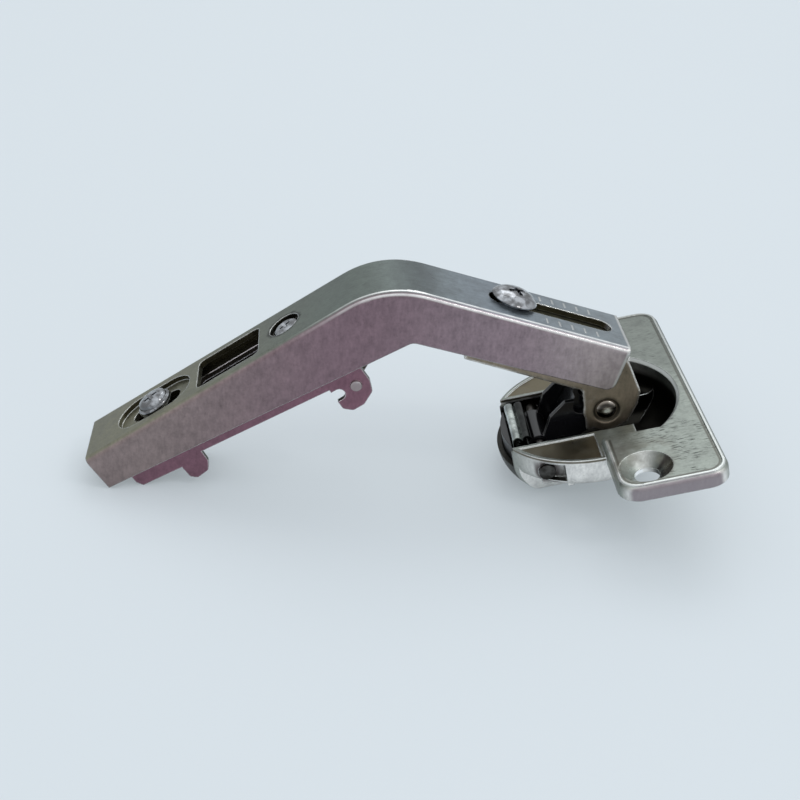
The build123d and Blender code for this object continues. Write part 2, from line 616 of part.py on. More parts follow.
# Inner arm: channel in the nose section, with the nose hanging from its end
CHANNEL_FIT = CHANNEL_HALF - SLIDE_GAP
TAIL_PIN_HALF = CHANNEL_FIT - INNER_SHEET + TAIL_PIN_SEAT
INNER_TOP = ARM_SHEET + WEB_GAP
INNER_LOW = ARM_BEND_DEPTH + INNER_SKIRT
with BuildPart() as inner_arm:
    with BuildSketch(SIDE) as inner_side:
        polygon([
            on_nose(INNER_FAR, INNER_TOP), on_nose(INNER_NEAR, INNER_TOP), *NOSE_OUTLINE,
            on_nose(INNER_FAR, INNER_LOW),
        ])
        with Locations(NOSE_PIVOT):
            Circle(NOSE_ROUND)
        fillet(corner(inner_side, NOSE_OUTLINE[1]), INNER_SHEET)
    extrude(amount=CHANNEL_FIT, both=True)
    with BuildSketch(SIDE):
        polygon([
            on_nose(INNER_FAR + INNER_SHEET, INNER_TOP + INNER_SHEET),
            on_nose(INNER_NEAR + INNER_SHEET, INNER_TOP + INNER_SHEET),
            (NOSE_OUTLINE[0][0] - INNER_SHEET, NOSE_OUTLINE[0][1]),
            (NOSE_OUTLINE[1][0] - INNER_SHEET, NOSE_OUTLINE[1][1]),
            (NOSE_OUTLINE[2][0] - INNER_SHEET, NOSE_OUTLINE[2][1]),
            (NOSE_OUTLINE[2][0] + INNER_SHEET, NOSE_OUTLINE[2][1]),
            (NOSE_OUTLINE[2][0] + INNER_SHEET, -NOSE_ROUND),
            (-NOSE_ROUND, -NOSE_ROUND),
            on_nose(INNER_FAR + INNER_SHEET, CLEAR),
        ])
    extrude(amount=CHANNEL_FIT - INNER_SHEET, both=True, mode=Mode.SUBTRACT)
    add(bar(NOSE_PIVOT, NOSE_RIVET_RADIUS + PRESS_GAP, CUP_RADIUS), mode=Mode.SUBTRACT)
    add(
        bar(NOSE_PIVOT, RIVET_RING_RADIUS, CHANNEL_FIT, CHANNEL_FIT - RIVET_RING_DEPTH),
        mode=Mode.SUBTRACT,
    )
    add(bar(TAIL_PIVOT, TAIL_PIN_RADIUS + PRESS_GAP, TAIL_PIN_HALF + PRESS_GAP), mode=Mode.SUBTRACT)
    with BuildSketch(NOSE_TOP):
        with Locations((OVERLAY_PLACE, 0)):
            Circle(OVERLAY_SHANK_RADIUS + RUNNING_FIT)
    extrude(amount=-INNER_TOP - 2 * INNER_SHEET, mode=Mode.SUBTRACT)

with BuildPart() as nose_rivet:
    ring_floor = CHANNEL_FIT - RIVET_RING_DEPTH
    add(bar(NOSE_PIVOT, NOSE_RIVET_RADIUS, ring_floor))
    add(bar(NOSE_PIVOT, RIVET_HEAD_RADIUS, ring_floor + RIVET_HEAD_HEIGHT, ring_floor))
    head_rims = nose_rivet.edges().sort_by(Axis.Y)
    chamfer([head_rims[0], head_rims[-1]], RIVET_HEAD_SLOPE)

with BuildPart() as tail_pin:
    add(bar(TAIL_PIVOT, TAIL_PIN_RADIUS, TAIL_PIN_HALF))

# Clip carrier: channel in the foot section, with a tab and a hook on each side
CARRIER_TOP = TRAY_FLOOR + WEB_GAP
with BuildPart() as clip_carrier:
    with BuildSketch(SIDE) as carrier_side:
        polygon([
            on_foot(CARRIER_NEAR, CARRIER_TOP),
            on_foot(CARRIER_FAR, CARRIER_TOP),
            *[on_foot(place, depth) for place, depth in reversed(HOOK)],
            on_foot(HOOK[0][0], foot_depth(HOOK[0][0]) + CARRIER_SKIRT),
            on_foot(TAB[-2][0], foot_depth(TAB[-2][0]) + CARRIER_SKIRT),
            on_foot(TAB[0][0], foot_depth(TAB[0][0]) + CARRIER_SKIRT + CARRIER_DROP),
            on_foot(
                CARRIER_NEAR + CARRIER_SLANT,
                foot_depth(CARRIER_NEAR) + CARRIER_SKIRT + CARRIER_DROP,
            ),
            on_foot(CARRIER_NEAR, foot_depth(CARRIER_NEAR) + CARRIER_SKIRT),
        ])
        polygon([on_foot(place, depth) for place, depth in TAB])
        for place, depth in (*HOOK[1:5], *TAB[1:4]):
            fillet(corner(carrier_side, on_foot(place, depth)), PLATE_ROUND)
        with Locations(on_foot(*HOOK_GAP)):
            Circle(HOOK_GAP_RADIUS, mode=Mode.SUBTRACT)
        gap_place, gap_depth = HOOK_GAP
        polygon([
            on_foot(gap_place, gap_depth - HOOK_GAP_RADIUS),
            on_foot(gap_place - 2 * HOOK_GAP_RADIUS, gap_depth - HOOK_GAP_RADIUS),
            on_foot(gap_place - 2 * HOOK_GAP_RADIUS, gap_depth + HOOK_GAP_RADIUS),
            on_foot(gap_place, gap_depth + HOOK_GAP_RADIUS),
        ], Mode.SUBTRACT)
        with Locations(on_foot(*HOOK_RIVET)):
            Circle(HOOK_RIVET_RADIUS + PRESS_GAP, mode=Mode.SUBTRACT)
    extrude(amount=CHANNEL_FIT, both=True)
    with BuildSketch(SIDE):
        polygon([
            on_foot(0, CARRIER_TOP + CARRIER_SHEET),
            on_foot(FOOT_SECTION, CARRIER_TOP + CARRIER_SHEET),
            on_foot(FOOT_SECTION, CLEAR),
            on_foot(0, CLEAR),
        ])
    extrude(amount=CHANNEL_FIT - CARRIER_SHEET, both=True, mode=Mode.SUBTRACT)
    with BuildSketch(FOOT_TOP.offset(-CARRIER_TOP)):
        with Locations(((CARRIER_WINDOW_NEAR + CARRIER_WINDOW_FAR) / 2, 0)):
            RectangleRounded(
                CARRIER_WINDOW_FAR - CARRIER_WINDOW_NEAR, 2 * CARRIER_WINDOW_HALF, WINDOW_CORNER,
            )
        with Locations((DEPTH_PLACE, 0)):
            Circle(DEPTH_SHANK_RADIUS + RUNNING_FIT)
        with Locations((SMALL_PLACE, 0)):
            SlotOverall(
                2 * (TRAY_TRAVEL + SMALL_SHANK_RADIUS + SLIDE_GAP),
                2 * (SMALL_SHANK_RADIUS + SLIDE_GAP),
            )
    extrude(amount=-CARRIER_SHEET, mode=Mode.SUBTRACT)

with BuildPart() as hook_rivet:
    add(bar(on_foot(*HOOK_RIVET), HOOK_RIVET_RADIUS, CHANNEL_FIT + HOOK_RIVET_STAND))


# Screws, with a cross recess
def cross_screw(seat, head, collar, shank):
    """Screw on a seat: a head's radius, height and slope, and a radius and height for the rest."""
    crown = seat.offset(collar[1] + head[1])
    with BuildPart() as made:
        with BuildSketch(seat.offset(collar[1])):
            Circle(head[0])
        extrude(amount=head[1])
        rim = made.edges().sort_by(Axis(seat.origin, seat.z_dir))[-1]
        chamfer(rim, head[2])
        if collar[1]:
            with BuildSketch(seat):
                Circle(collar[0])
            extrude(amount=collar[1])
        with BuildSketch(seat):
            Circle(shank[0])
        extrude(amount=-shank[1])
        with BuildSketch(crown):
            for turn in (0, 90):
                with Locations(Location((0, 0, 0), (0, 0, turn + RECESS_TURN))):
                    Rectangle(2 * RECESS_SPAN * head[0], RECESS_WIDTH)
        extrude(amount=-min(RECESS_DEPTH, head[1] * RECESS_SHARE), mode=Mode.SUBTRACT)
    return made.part


def section_seat(plane, place, depth):
    """Plane on a section's middle line, a depth under its top face."""
    origin = plane.from_local_coords((place, 0, -depth))
    return Plane(origin=origin, x_dir=plane.x_dir, z_dir=plane.z_dir)


def square_nut(plane, place, depth, shank_radius):
    """Square nut hanging under a channel's web."""
    with BuildPart() as made:
        with BuildSketch(section_seat(plane, place, depth)):
            RectangleRounded(NUT_SIDE, NUT_SIDE, NUT_CORNER)
            Circle(shank_radius + RUNNING_FIT, mode=Mode.SUBTRACT)
        extrude(amount=-NUT_HEIGHT)
    return made.part


with BuildPart() as overlay_screw:
    add(cross_screw(
        section_seat(NOSE_TOP, OVERLAY_PLACE, -SCREW_SEAT_GAP),
        (OVERLAY_HEAD_RADIUS, OVERLAY_HEAD_HEIGHT, OVERLAY_HEAD_SLOPE),
        (OVERLAY_COLLAR_RADIUS, OVERLAY_COLLAR_HEIGHT),
        (OVERLAY_SHANK_RADIUS, OVERLAY_REACH),
    ))

with BuildPart() as overlay_nut:
    add(square_nut(NOSE_TOP, OVERLAY_PLACE, INNER_TOP + INNER_SHEET, OVERLAY_SHANK_RADIUS))

with BuildPart() as depth_screw:
    add(cross_screw(
        section_seat(FOOT_TOP, DEPTH_PLACE, TRAY_DEPTH - SCREW_SEAT_GAP),
        (DEPTH_HEAD_RADIUS, DEPTH_HEAD_HEIGHT, DEPTH_HEAD_SLOPE),
        (DEPTH_SHANK_RADIUS, 0),
        (DEPTH_SHANK_RADIUS, DEPTH_REACH),
    ))

with BuildPart() as depth_nut:
    add(square_nut(FOOT_TOP, DEPTH_PLACE, CARRIER_TOP + CARRIER_SHEET, DEPTH_SHANK_RADIUS))

with BuildPart() as small_screw:
    add(cross_screw(
        section_seat(FOOT_TOP, SMALL_PLACE, ARM_SHEET - SCREW_SEAT_GAP),
        (SMALL_HEAD_RADIUS, SMALL_HEAD_HEIGHT, SMALL_HEAD_SLOPE),
        (SMALL_SHANK_RADIUS, 0),
        (SMALL_SHANK_RADIUS, SMALL_REACH),
    ))

with BuildPart() as screw_bush:
    with BuildSketch(section_seat(FOOT_TOP, SMALL_PLACE, ARM_SHEET)):
        Circle(BUSH_RADIUS)
        Circle(SMALL_SHANK_RADIUS + RUNNING_FIT, mode=Mode.SUBTRACT)
    extrude(amount=-TRAY_DEPTH)

pieces = {
    "hinge_cup": hinge_cup,
    "cup_pin": cup_pin,
    "link_pin": link_pin,
    "cup_buffer": cup_buffer,
    "closing_spring": closing_spring,
    "outer_link": outer_link,
    "inner_link": inner_link,
    "inner_arm": inner_arm,
    "nose_rivet": nose_rivet,
    "tail_pin": tail_pin,
    "outer_arm": outer_arm,
    "clip_carrier": clip_carrier,
    "hook_rivet": hook_rivet,
    "overlay_screw": overlay_screw,
    "overlay_nut": overlay_nut,
    "depth_screw": depth_screw,
    "depth_nut": depth_nut,
    "small_screw": small_screw,
    "screw_bush": screw_bush,
}
os.makedirs("parts", exist_ok=True)
for name, piece in pieces.items():
    piece.part.label = name
    export_step(piece.part, f"parts/{name}.step")
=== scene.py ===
"""Looks of a bent-arm corner cabinet hinge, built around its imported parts.

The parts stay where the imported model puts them. This script gives each one its plated, blackened
or bright finish, adds the screw threads and small rolled details, and sets the studio.
"""

import json
import logging
import math
from dataclasses import dataclass, field
from enum import Enum
from typing import Union

import bmesh
import bpy
from mathutils import Euler, Matrix, Vector


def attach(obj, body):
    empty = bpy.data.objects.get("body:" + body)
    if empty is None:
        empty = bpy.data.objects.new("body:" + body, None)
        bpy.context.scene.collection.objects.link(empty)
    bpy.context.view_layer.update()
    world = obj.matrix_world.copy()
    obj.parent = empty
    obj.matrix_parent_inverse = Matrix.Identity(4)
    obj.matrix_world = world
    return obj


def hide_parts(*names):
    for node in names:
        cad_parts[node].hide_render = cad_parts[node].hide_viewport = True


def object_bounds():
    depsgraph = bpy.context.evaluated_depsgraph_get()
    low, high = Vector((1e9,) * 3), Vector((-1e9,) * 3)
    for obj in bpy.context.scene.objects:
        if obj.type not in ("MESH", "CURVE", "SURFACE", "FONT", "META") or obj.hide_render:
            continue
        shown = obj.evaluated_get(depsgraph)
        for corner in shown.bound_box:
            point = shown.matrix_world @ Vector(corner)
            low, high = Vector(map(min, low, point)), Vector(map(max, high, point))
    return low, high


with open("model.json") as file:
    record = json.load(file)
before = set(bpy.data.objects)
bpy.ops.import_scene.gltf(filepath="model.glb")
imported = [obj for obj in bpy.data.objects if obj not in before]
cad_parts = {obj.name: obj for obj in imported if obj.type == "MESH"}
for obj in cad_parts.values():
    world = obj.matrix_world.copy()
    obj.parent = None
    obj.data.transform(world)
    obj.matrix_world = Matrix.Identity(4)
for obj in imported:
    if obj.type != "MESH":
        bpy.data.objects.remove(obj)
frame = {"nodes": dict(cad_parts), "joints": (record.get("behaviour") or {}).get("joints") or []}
CAD_BOX = [list(corner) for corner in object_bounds()]

MM = 0.001
BEVEL_SAMPLES = 6
SHARP_CORNER = (0.02, 0.22)
LOG = logging.getLogger("corner_hinge")

Colour = tuple[float, float, float]
Place = tuple[float, float, float]
Profile = tuple[tuple[float, float], ...]
Tones = tuple[Colour, ...]
Span = tuple[float, float]

JOINTS = {joint["name"]: joint for joint in frame["joints"]}
ORIGIN: Place = (0.0, 0.0, 0.0)
ALONG: Place = (1.0, 0.0, 0.0)
ACROSS: Place = (0.0, 1.0, 0.0)
UPWARD: Place = (0.0, 0.0, 1.0)

# Frames of the nose's end and of the cup's mouth, and the axes of two pins, as the CAD has them.
NOSE_END: Place = (0.0410478, 0.0, 0.0294674)
NOSE_BACK: Place = (-0.964722, 0.0, 0.263272)
NOSE_UP: Place = (0.263272, 0.0, 0.964722)
MOUTH_CENTRE: Place = (0.0361326, 0.0, 0.0134832)
MOUTH_OUT: Place = (0.971401, 0.0, 0.237443)
MOUTH_UP: Place = (-0.237443, 0.0, 0.971401)
RIVET_CENTRE: Place = (0.0384035, 0.0, 0.016406)
CUP_PIN_CENTRE: Place = (0.0271546, 0.0, 0.0080974)

# Places along the hinge where the tone of its plating changes, in millimetres; these tones hold
# painted light and reflections.
STATIONS = (-45.0, -8.0, 18.0, 38.0)


class Body(Enum):
    """Bodies of the hinge that the added pieces ride on."""

    DEPTH_SCREW = "depth_screw"
    SMALL_SCREW = "small_screw"
    NOSE_ARM = "nose_arm"
    OVERLAY_SCREW = "overlay_screw"
    CUP = "cup"


class Slot(Enum):
    """Names of material slots of the record, which the script does not use."""

    CUP = "nickel_cup"
    PIN = "pin_steel"
    SCREW = "screw_chrome"


class Axis(Enum):
    """Parts of a normal: along the hinge, across it and up."""

    ALONG = "X"
    ACROSS = "Y"
    UP = "Z"


class Maths(Enum):
    """Sums that a Math node does."""

    ADD = "ADD"
    SUBTRACT = "SUBTRACT"
    MULTIPLY = "MULTIPLY"
    DIVIDE = "DIVIDE"
    MINIMUM = "MINIMUM"
    MAXIMUM = "MAXIMUM"
    ABSOLUTE = "ABSOLUTE"
    FRACTION = "FRACT"
    ROOT = "SQRT"


@dataclass(frozen=True)
class Wire:
    """A socket of a material's nodes that takes part in Python expressions."""

    sheet: "NodeSheet"
    socket: bpy.types.NodeSocket

    def __add__(self, other: "Term") -> "Wire":
        """Sum."""
        return self.sheet.sum_up(Maths.ADD, self, other)

    def __radd__(self, other: "Term") -> "Wire":
        """Sum, from the right."""
        return self.sheet.sum_up(Maths.ADD, other, self)

    def __sub__(self, other: "Term") -> "Wire":
        """Difference."""
        return self.sheet.sum_up(Maths.SUBTRACT, self, other)

    def __rsub__(self, other: "Term") -> "Wire":
        """Difference, from the right."""
        return self.sheet.sum_up(Maths.SUBTRACT, other, self)

    def __mul__(self, other: "Term") -> "Wire":
        """Product."""
        return self.sheet.sum_up(Maths.MULTIPLY, self, other)

    def __rmul__(self, other: "Term") -> "Wire":
        """Product, from the right."""
        return self.sheet.sum_up(Maths.MULTIPLY, other, self)

    def __truediv__(self, other: "Term") -> "Wire":
        """Quotient."""
        return self.sheet.sum_up(Maths.DIVIDE, self, other)

    def __abs__(self) -> "Wire":
        """Size without the sign."""
        return self.sheet.sum_up(Maths.ABSOLUTE, self)


Term = Union[Wire, float, int]


@dataclass
class Coats:
    """Colour, roughness and height of a surface while its finish is put together."""

    tone: Wire
    roughness: Term
    height: Term

    def paint(self, share: Term, colour: Colour) -> None:
        """Lay a colour over the tone, all of it where the share is 1."""
        self.tone = self.tone.sheet.blend(share, self.tone, colour)

    def shade(self, share: Term) -> None:
        """Multiply the tone by a grey value."""
        self.tone = self.tone.sheet.shade(self.tone, share)


class NodeSheet:
    """The nodes of one material or of the sky, with the object's coordinates and normal."""

    def __init__(self, owner: Union[bpy.types.Material, bpy.types.World]) -> None:
        """Start on an empty tree.

        Args:
            owner: Material or world that the nodes belong to.
        """
        owner.use_nodes = True
        self.owner = owner
        self.tree = owner.node_tree
        self.tree.nodes.clear()
        self.place = self.node("ShaderNodeTexCoord", output="Object")
        self.facing = self.node("ShaderNodeTexCoord", output="Normal")

    def node(
        self,
        kind: str,
        settings: dict[str, object] | None = None,
        inputs: dict[str | int, object] | None = None,
        output: str | int = 0,
    ) -> Wire:
        """Make a node.

        Args:
            kind: Type name of the node.
            settings: Its settings, set before its sockets.
            inputs: Values or wires of its input sockets.
            output: Name or number of the output that is wanted.

        Returns:
            The output as a wire, or the first input of a node that has no output.
        """
        made = self.tree.nodes.new(kind)
        for key, value in (settings or {}).items():
            setattr(made, key, value)
        for key, value in (inputs or {}).items():
            socket = made.inputs[key]
            if isinstance(value, Wire):
                self.tree.links.new(value.socket, socket)
            elif isinstance(value, tuple) and len(value) == 3 and socket.type == "RGBA":
                socket.default_value = (*value, 1)
            else:
                socket.default_value = value
        return Wire(self, made.outputs[output] if made.outputs else made.inputs[0])

    def sum_up(self, operation: Maths, *terms: Term) -> Wire:
        """Math node on one or two terms."""
        return self.node("ShaderNodeMath", {"operation": operation.value}, dict(enumerate(terms)))

    def vectors(self, operation: str, one: object, other: object = ORIGIN) -> Wire:
        """Vector Math node that gives a vector."""
        return self.node("ShaderNodeVectorMath", {"operation": operation}, {0: one, 1: other})

    def dot(self, one: Wire, other: object) -> Wire:
        """Dot product of two vectors."""
        return self.node(
            "ShaderNodeVectorMath", {"operation": "DOT_PRODUCT"}, {0: one, 1: other},
            output="Value",
        )

    def least(self, one: Term, other: Term) -> Wire:
        """The smaller of two values."""
        return self.sum_up(Maths.MINIMUM, one, other)

    def most(self, one: Term, other: Term) -> Wire:
        """The larger of two values."""
        return self.sum_up(Maths.MAXIMUM, one, other)

    def hypotenuse(self, one: Wire, other: Wire) -> Wire:
        """Length of a step whose two parts are given."""
        return self.sum_up(Maths.ROOT, one * one + other * other)

    def rise(self, value: Term, low: float, high: float) -> Wire:
        """Smooth rise from 0 at low to 1 at high."""
        return self.node(
            "ShaderNodeMapRange",
            {"interpolation_type": "SMOOTHSTEP"},
            {"Value": value, "From Min": low, "From Max": high},
        )

    def band(self, value: Term, low: float, high: float, soft: float) -> Wire:
        """1 between two values and 0 outside them, with soft edges."""
        after_high = self.rise(value, high - soft, high + soft)
        return self.rise(value, low - soft, low + soft) * (1 - after_high)

    def plain(self, colour: Colour) -> Wire:
        """One colour all over, to be shaded or blended further."""
        return self.blend(0.0, colour, colour)

    def blend(self, share: Term, one: Union[Wire, Colour], other: Union[Wire, Colour]) -> Wire:
        """Colour between two colours, the second one where the share is 1."""
        return self.node(
            "ShaderNodeMix", {"data_type": "RGBA"}, {0: share, 6: one, 7: other}, output=2
        )

    def shade(self, colour: Wire, share: Term) -> Wire:
        """Colour times a grey value."""
        grey = self.node("ShaderNodeCombineXYZ", inputs={0: share, 1: share, 2: share})
        return self.vectors("MULTIPLY", colour, grey)

    def noise(self, scale: float, detail: float = 3.0) -> Wire:
        """Noise between 0 and 1, of so many features per metre."""
        return self.node(
            "ShaderNodeTexNoise", inputs={"Vector": self.place, "Scale": scale, "Detail": detail}
        )

    def drawn_noise(self, size: Place, detail: float = 2.0) -> Wire:
        """Noise between 0 and 1 whose features are drawn out.

        Args:
            size: Size of a feature along each axis, in metres.
            detail: Octaves.

        Returns:
            The noise.
        """
        place = self.node(
            "ShaderNodeMapping",
            {"vector_type": "TEXTURE"},
            {"Vector": self.place, "Rotation": ORIGIN, "Scale": size},
        )
        return self.node(
            "ShaderNodeTexNoise", inputs={"Vector": place, "Scale": 1.0, "Detail": detail}
        )

    def along(self, origin: Place, direction: Place) -> Wire:
        """Distance in millimetres from a place, along a direction."""
        return self.dot(self.vectors("SUBTRACT", self.place, origin), direction) / MM

    def worn_edge(self, radius: float) -> Wire:
        """1 on sharp corners and 0 on flats.

        Args:
            radius: Reach of the wear around a corner, in metres.

        Returns:
            The mask.
        """
        rounded = self.node("ShaderNodeBevel", {"samples": BEVEL_SAMPLES}, {"Radius": radius})
        flat = self.node("ShaderNodeNewGeometry", output="Normal")
        return self.rise(1 - self.dot(rounded, flat), *SHARP_CORNER)

    def surface(self, coats: Coats, metallic: float, relief: float, edge: float = 0.0) -> Wire:
        """Surface shader under some coats.

        Args:
            coats: Colour, roughness and height.
            metallic: Metallic share.
            relief: Depth of the bump that the height gives, in metres.
            edge: Radius over which corners look rounded, in metres, or 0.

        Returns:
            The shader.
        """
        bump: dict[str | int, object] = {
            "Height": coats.height, "Distance": relief, "Strength": 1.0,
        }
        if edge:
            bump["Normal"] = self.node(
                "ShaderNodeBevel", {"samples": BEVEL_SAMPLES}, {"Radius": edge}
            )
        return self.node(
            "ShaderNodeBsdfPrincipled",
            inputs={
                "Base Color": coats.tone,
                "Roughness": coats.roughness,
                "Metallic": metallic,
                "Normal": self.node("ShaderNodeBump", inputs=bump),
            },
        )

    def close(self, shader: Wire) -> bpy.types.ID:
        """Link the shader to the output.

        Args:
            shader: Shader of the surface or of the sky.

        Returns:
            The finished material or world.
        """
        kind = "World" if isinstance(self.owner, bpy.types.World) else "Material"
        self.node("ShaderNodeOutput" + kind, inputs={"Surface": shader})
        return self.owner


@dataclass(frozen=True)
class PlatedSteel:
    """Nickel-plated pressed steel: mottled grain, drawn lines, specks and corners worn bright, with
    painted light and reflections in its tones, painted shade on inward faces and painted highlights
    on corners.

    Scales are in features per metre and sizes in metres. A span holds the two ends of a soft
    edge.
    """

    name: str
    # Top and side tones at each station are lit and shaded copies of one plating: painted light and
    # reflections.
    tops: Tones
    sides: Tones
    # Colour of worn corners, also used for their painted highlights.
    worn: Colour = (0.62, 0.62, 0.60)
    # Painted shade on faces that look towards the hinge's middle plane.
    inward_shade: Colour = (0.085, 0.075, 0.045)
    grain: float = 0.30
    cloud: float = 0.16
    speck: float = 0.12
    roughness: float = 0.38
    uneven_gloss: float = 0.3
    metallic: float = 0.88
    relief: float = 0.00003
    edge: float = 0.00035
    wear: float = 0.6
    worn_gloss: float = 0.12
    cloud_scale: float = 110.0
    mottle_scale: float = 620.0
    grain_scale: float = 2300.0
    speck_scale: float = 1500.0
    rub_scale: float = 700.0
    grain_height: float = 0.4
    drawn_height: float = 0.2
    mottle_height: float = 0.8
    drawn_size: Place = (0.012, 0.0005, 0.0005)
    rolled_size: Place = (0.0005, 0.0005, 0.0014)
    rolled_contrast: float = 1.6
    side_tone: Span = (0.35, 0.9)
    side_lines: Span = (0.5, 0.8)
    inward_faces: Span = (-0.4, -1.4)
    speck_peaks: Span = (0.60, 0.72)

    def along_hinge(self, sheet: NodeSheet, tones: Tones) -> Wire:
        """Tone that changes from the foot to the flange, at the stations, with painted light and
        reflections in it.

        Args:
            sheet: Node sheet of the material.
            tones: Tone at each station, or one for all.

        Returns:
            The tone.
        """
        place = sheet.along(ORIGIN, ALONG)
        tone = sheet.plain(tones[0])
        for low, high, after in zip(STATIONS, STATIONS[1:], tones[1:]):
            tone = sheet.blend(sheet.rise(place, low, high), tone, after)
        return tone

    def facing(self, sheet: NodeSheet, axis: Axis) -> Wire:
        """Part of a face's normal along one axis."""
        return sheet.node("ShaderNodeSeparateXYZ", inputs={0: sheet.facing}, output=axis.value)

    def sideways(self, sheet: NodeSheet) -> Wire:
        """1 on faces that look to the front or the back, 0 on tops and ends."""
        return abs(self.facing(sheet, Axis.ACROSS))

    def inward(self, sheet: NodeSheet) -> Term:
        """1 on faces that look towards the hinge's middle plane, such as a slot's walls."""
        towards = self.facing(sheet, Axis.ACROSS) * sheet.along(ORIGIN, ACROSS)
        return sheet.rise(towards, *self.inward_faces)

    def tone_with_painted_light(self, sheet: NodeSheet) -> Wire:
        """Tone of the plating with painted light and shade: by the way a face looks, its place
        along the hinge and inward faces.

        Args:
            sheet: Node sheet of the material.

        Returns:
            The tone.
        """
        on_side = sheet.rise(self.sideways(sheet), *self.side_tone)
        top, side = self.along_hinge(sheet, self.tops), self.along_hinge(sheet, self.sides)
        # Inward faces take the painted shade.
        return sheet.blend(self.inward(sheet), sheet.blend(on_side, top, side), self.inward_shade)

    def coats(self, sheet: NodeSheet) -> Coats:
        """Grain, clouds, specks and drawn lines on the plating.

        Args:
            sheet: Node sheet of the material.

        Returns:
            The coats.
        """
        cloud = sheet.noise(self.cloud_scale, 4.0)
        mottle = sheet.noise(self.mottle_scale)
        grain = sheet.noise(self.grain_scale, 2.0)
        rolled = (sheet.drawn_noise(self.rolled_size, 3.0) - 0.5) * self.rolled_contrast + 0.5
        on_side = sheet.rise(self.sideways(sheet), *self.side_lines)
        drawn = sheet.drawn_noise(self.drawn_size) * (1 - on_side) + rolled * on_side
        speck = sheet.rise(sheet.noise(self.speck_scale, 4.0), *self.speck_peaks)
        share = (
            1.0
            + (cloud - 0.5) * (2 * self.cloud)
            + (mottle - 0.5) * (2 * self.grain)
            + (grain - 0.5) * self.grain
            + (drawn - 0.5) * self.grain
            - speck * self.speck
        )
        tone = sheet.shade(self.tone_with_painted_light(sheet), share)
        dull = (cloud - 0.5) * self.uneven_gloss + (mottle - 0.5) * self.uneven_gloss
        height = grain * self.grain_height + drawn * self.drawn_height
        height = height + mottle * self.mottle_height
        return Coats(tone, dull + self.roughness, height)

    def details(self, sheet: NodeSheet, coats: Coats) -> None:
        """Marks of one part of the hinge, none on plain plating."""

    def rubbed(self, sheet: NodeSheet) -> Term:
        """Share of the wear that reaches each place, all of it on plain plating."""
        return 1.0

    def make(self) -> bpy.types.Material:
        """Build the material.

        Returns:
            The finished material.
        """
        sheet = NodeSheet(bpy.data.materials.new(self.name))
        coats = self.coats(sheet)
        self.details(sheet, coats)
        # Pale colour on sharp corners: wear, and painted highlights along the edges.
        rub = sheet.worn_edge(self.edge) * (sheet.noise(self.rub_scale, 2.0) * self.wear * 2)
        rub = rub * self.rubbed(sheet)
        coats.paint(sheet.least(rub, 1.0), self.worn)
        coats.roughness -= rub * self.worn_gloss
        return sheet.close(sheet.surface(coats, self.metallic, self.relief, self.edge))


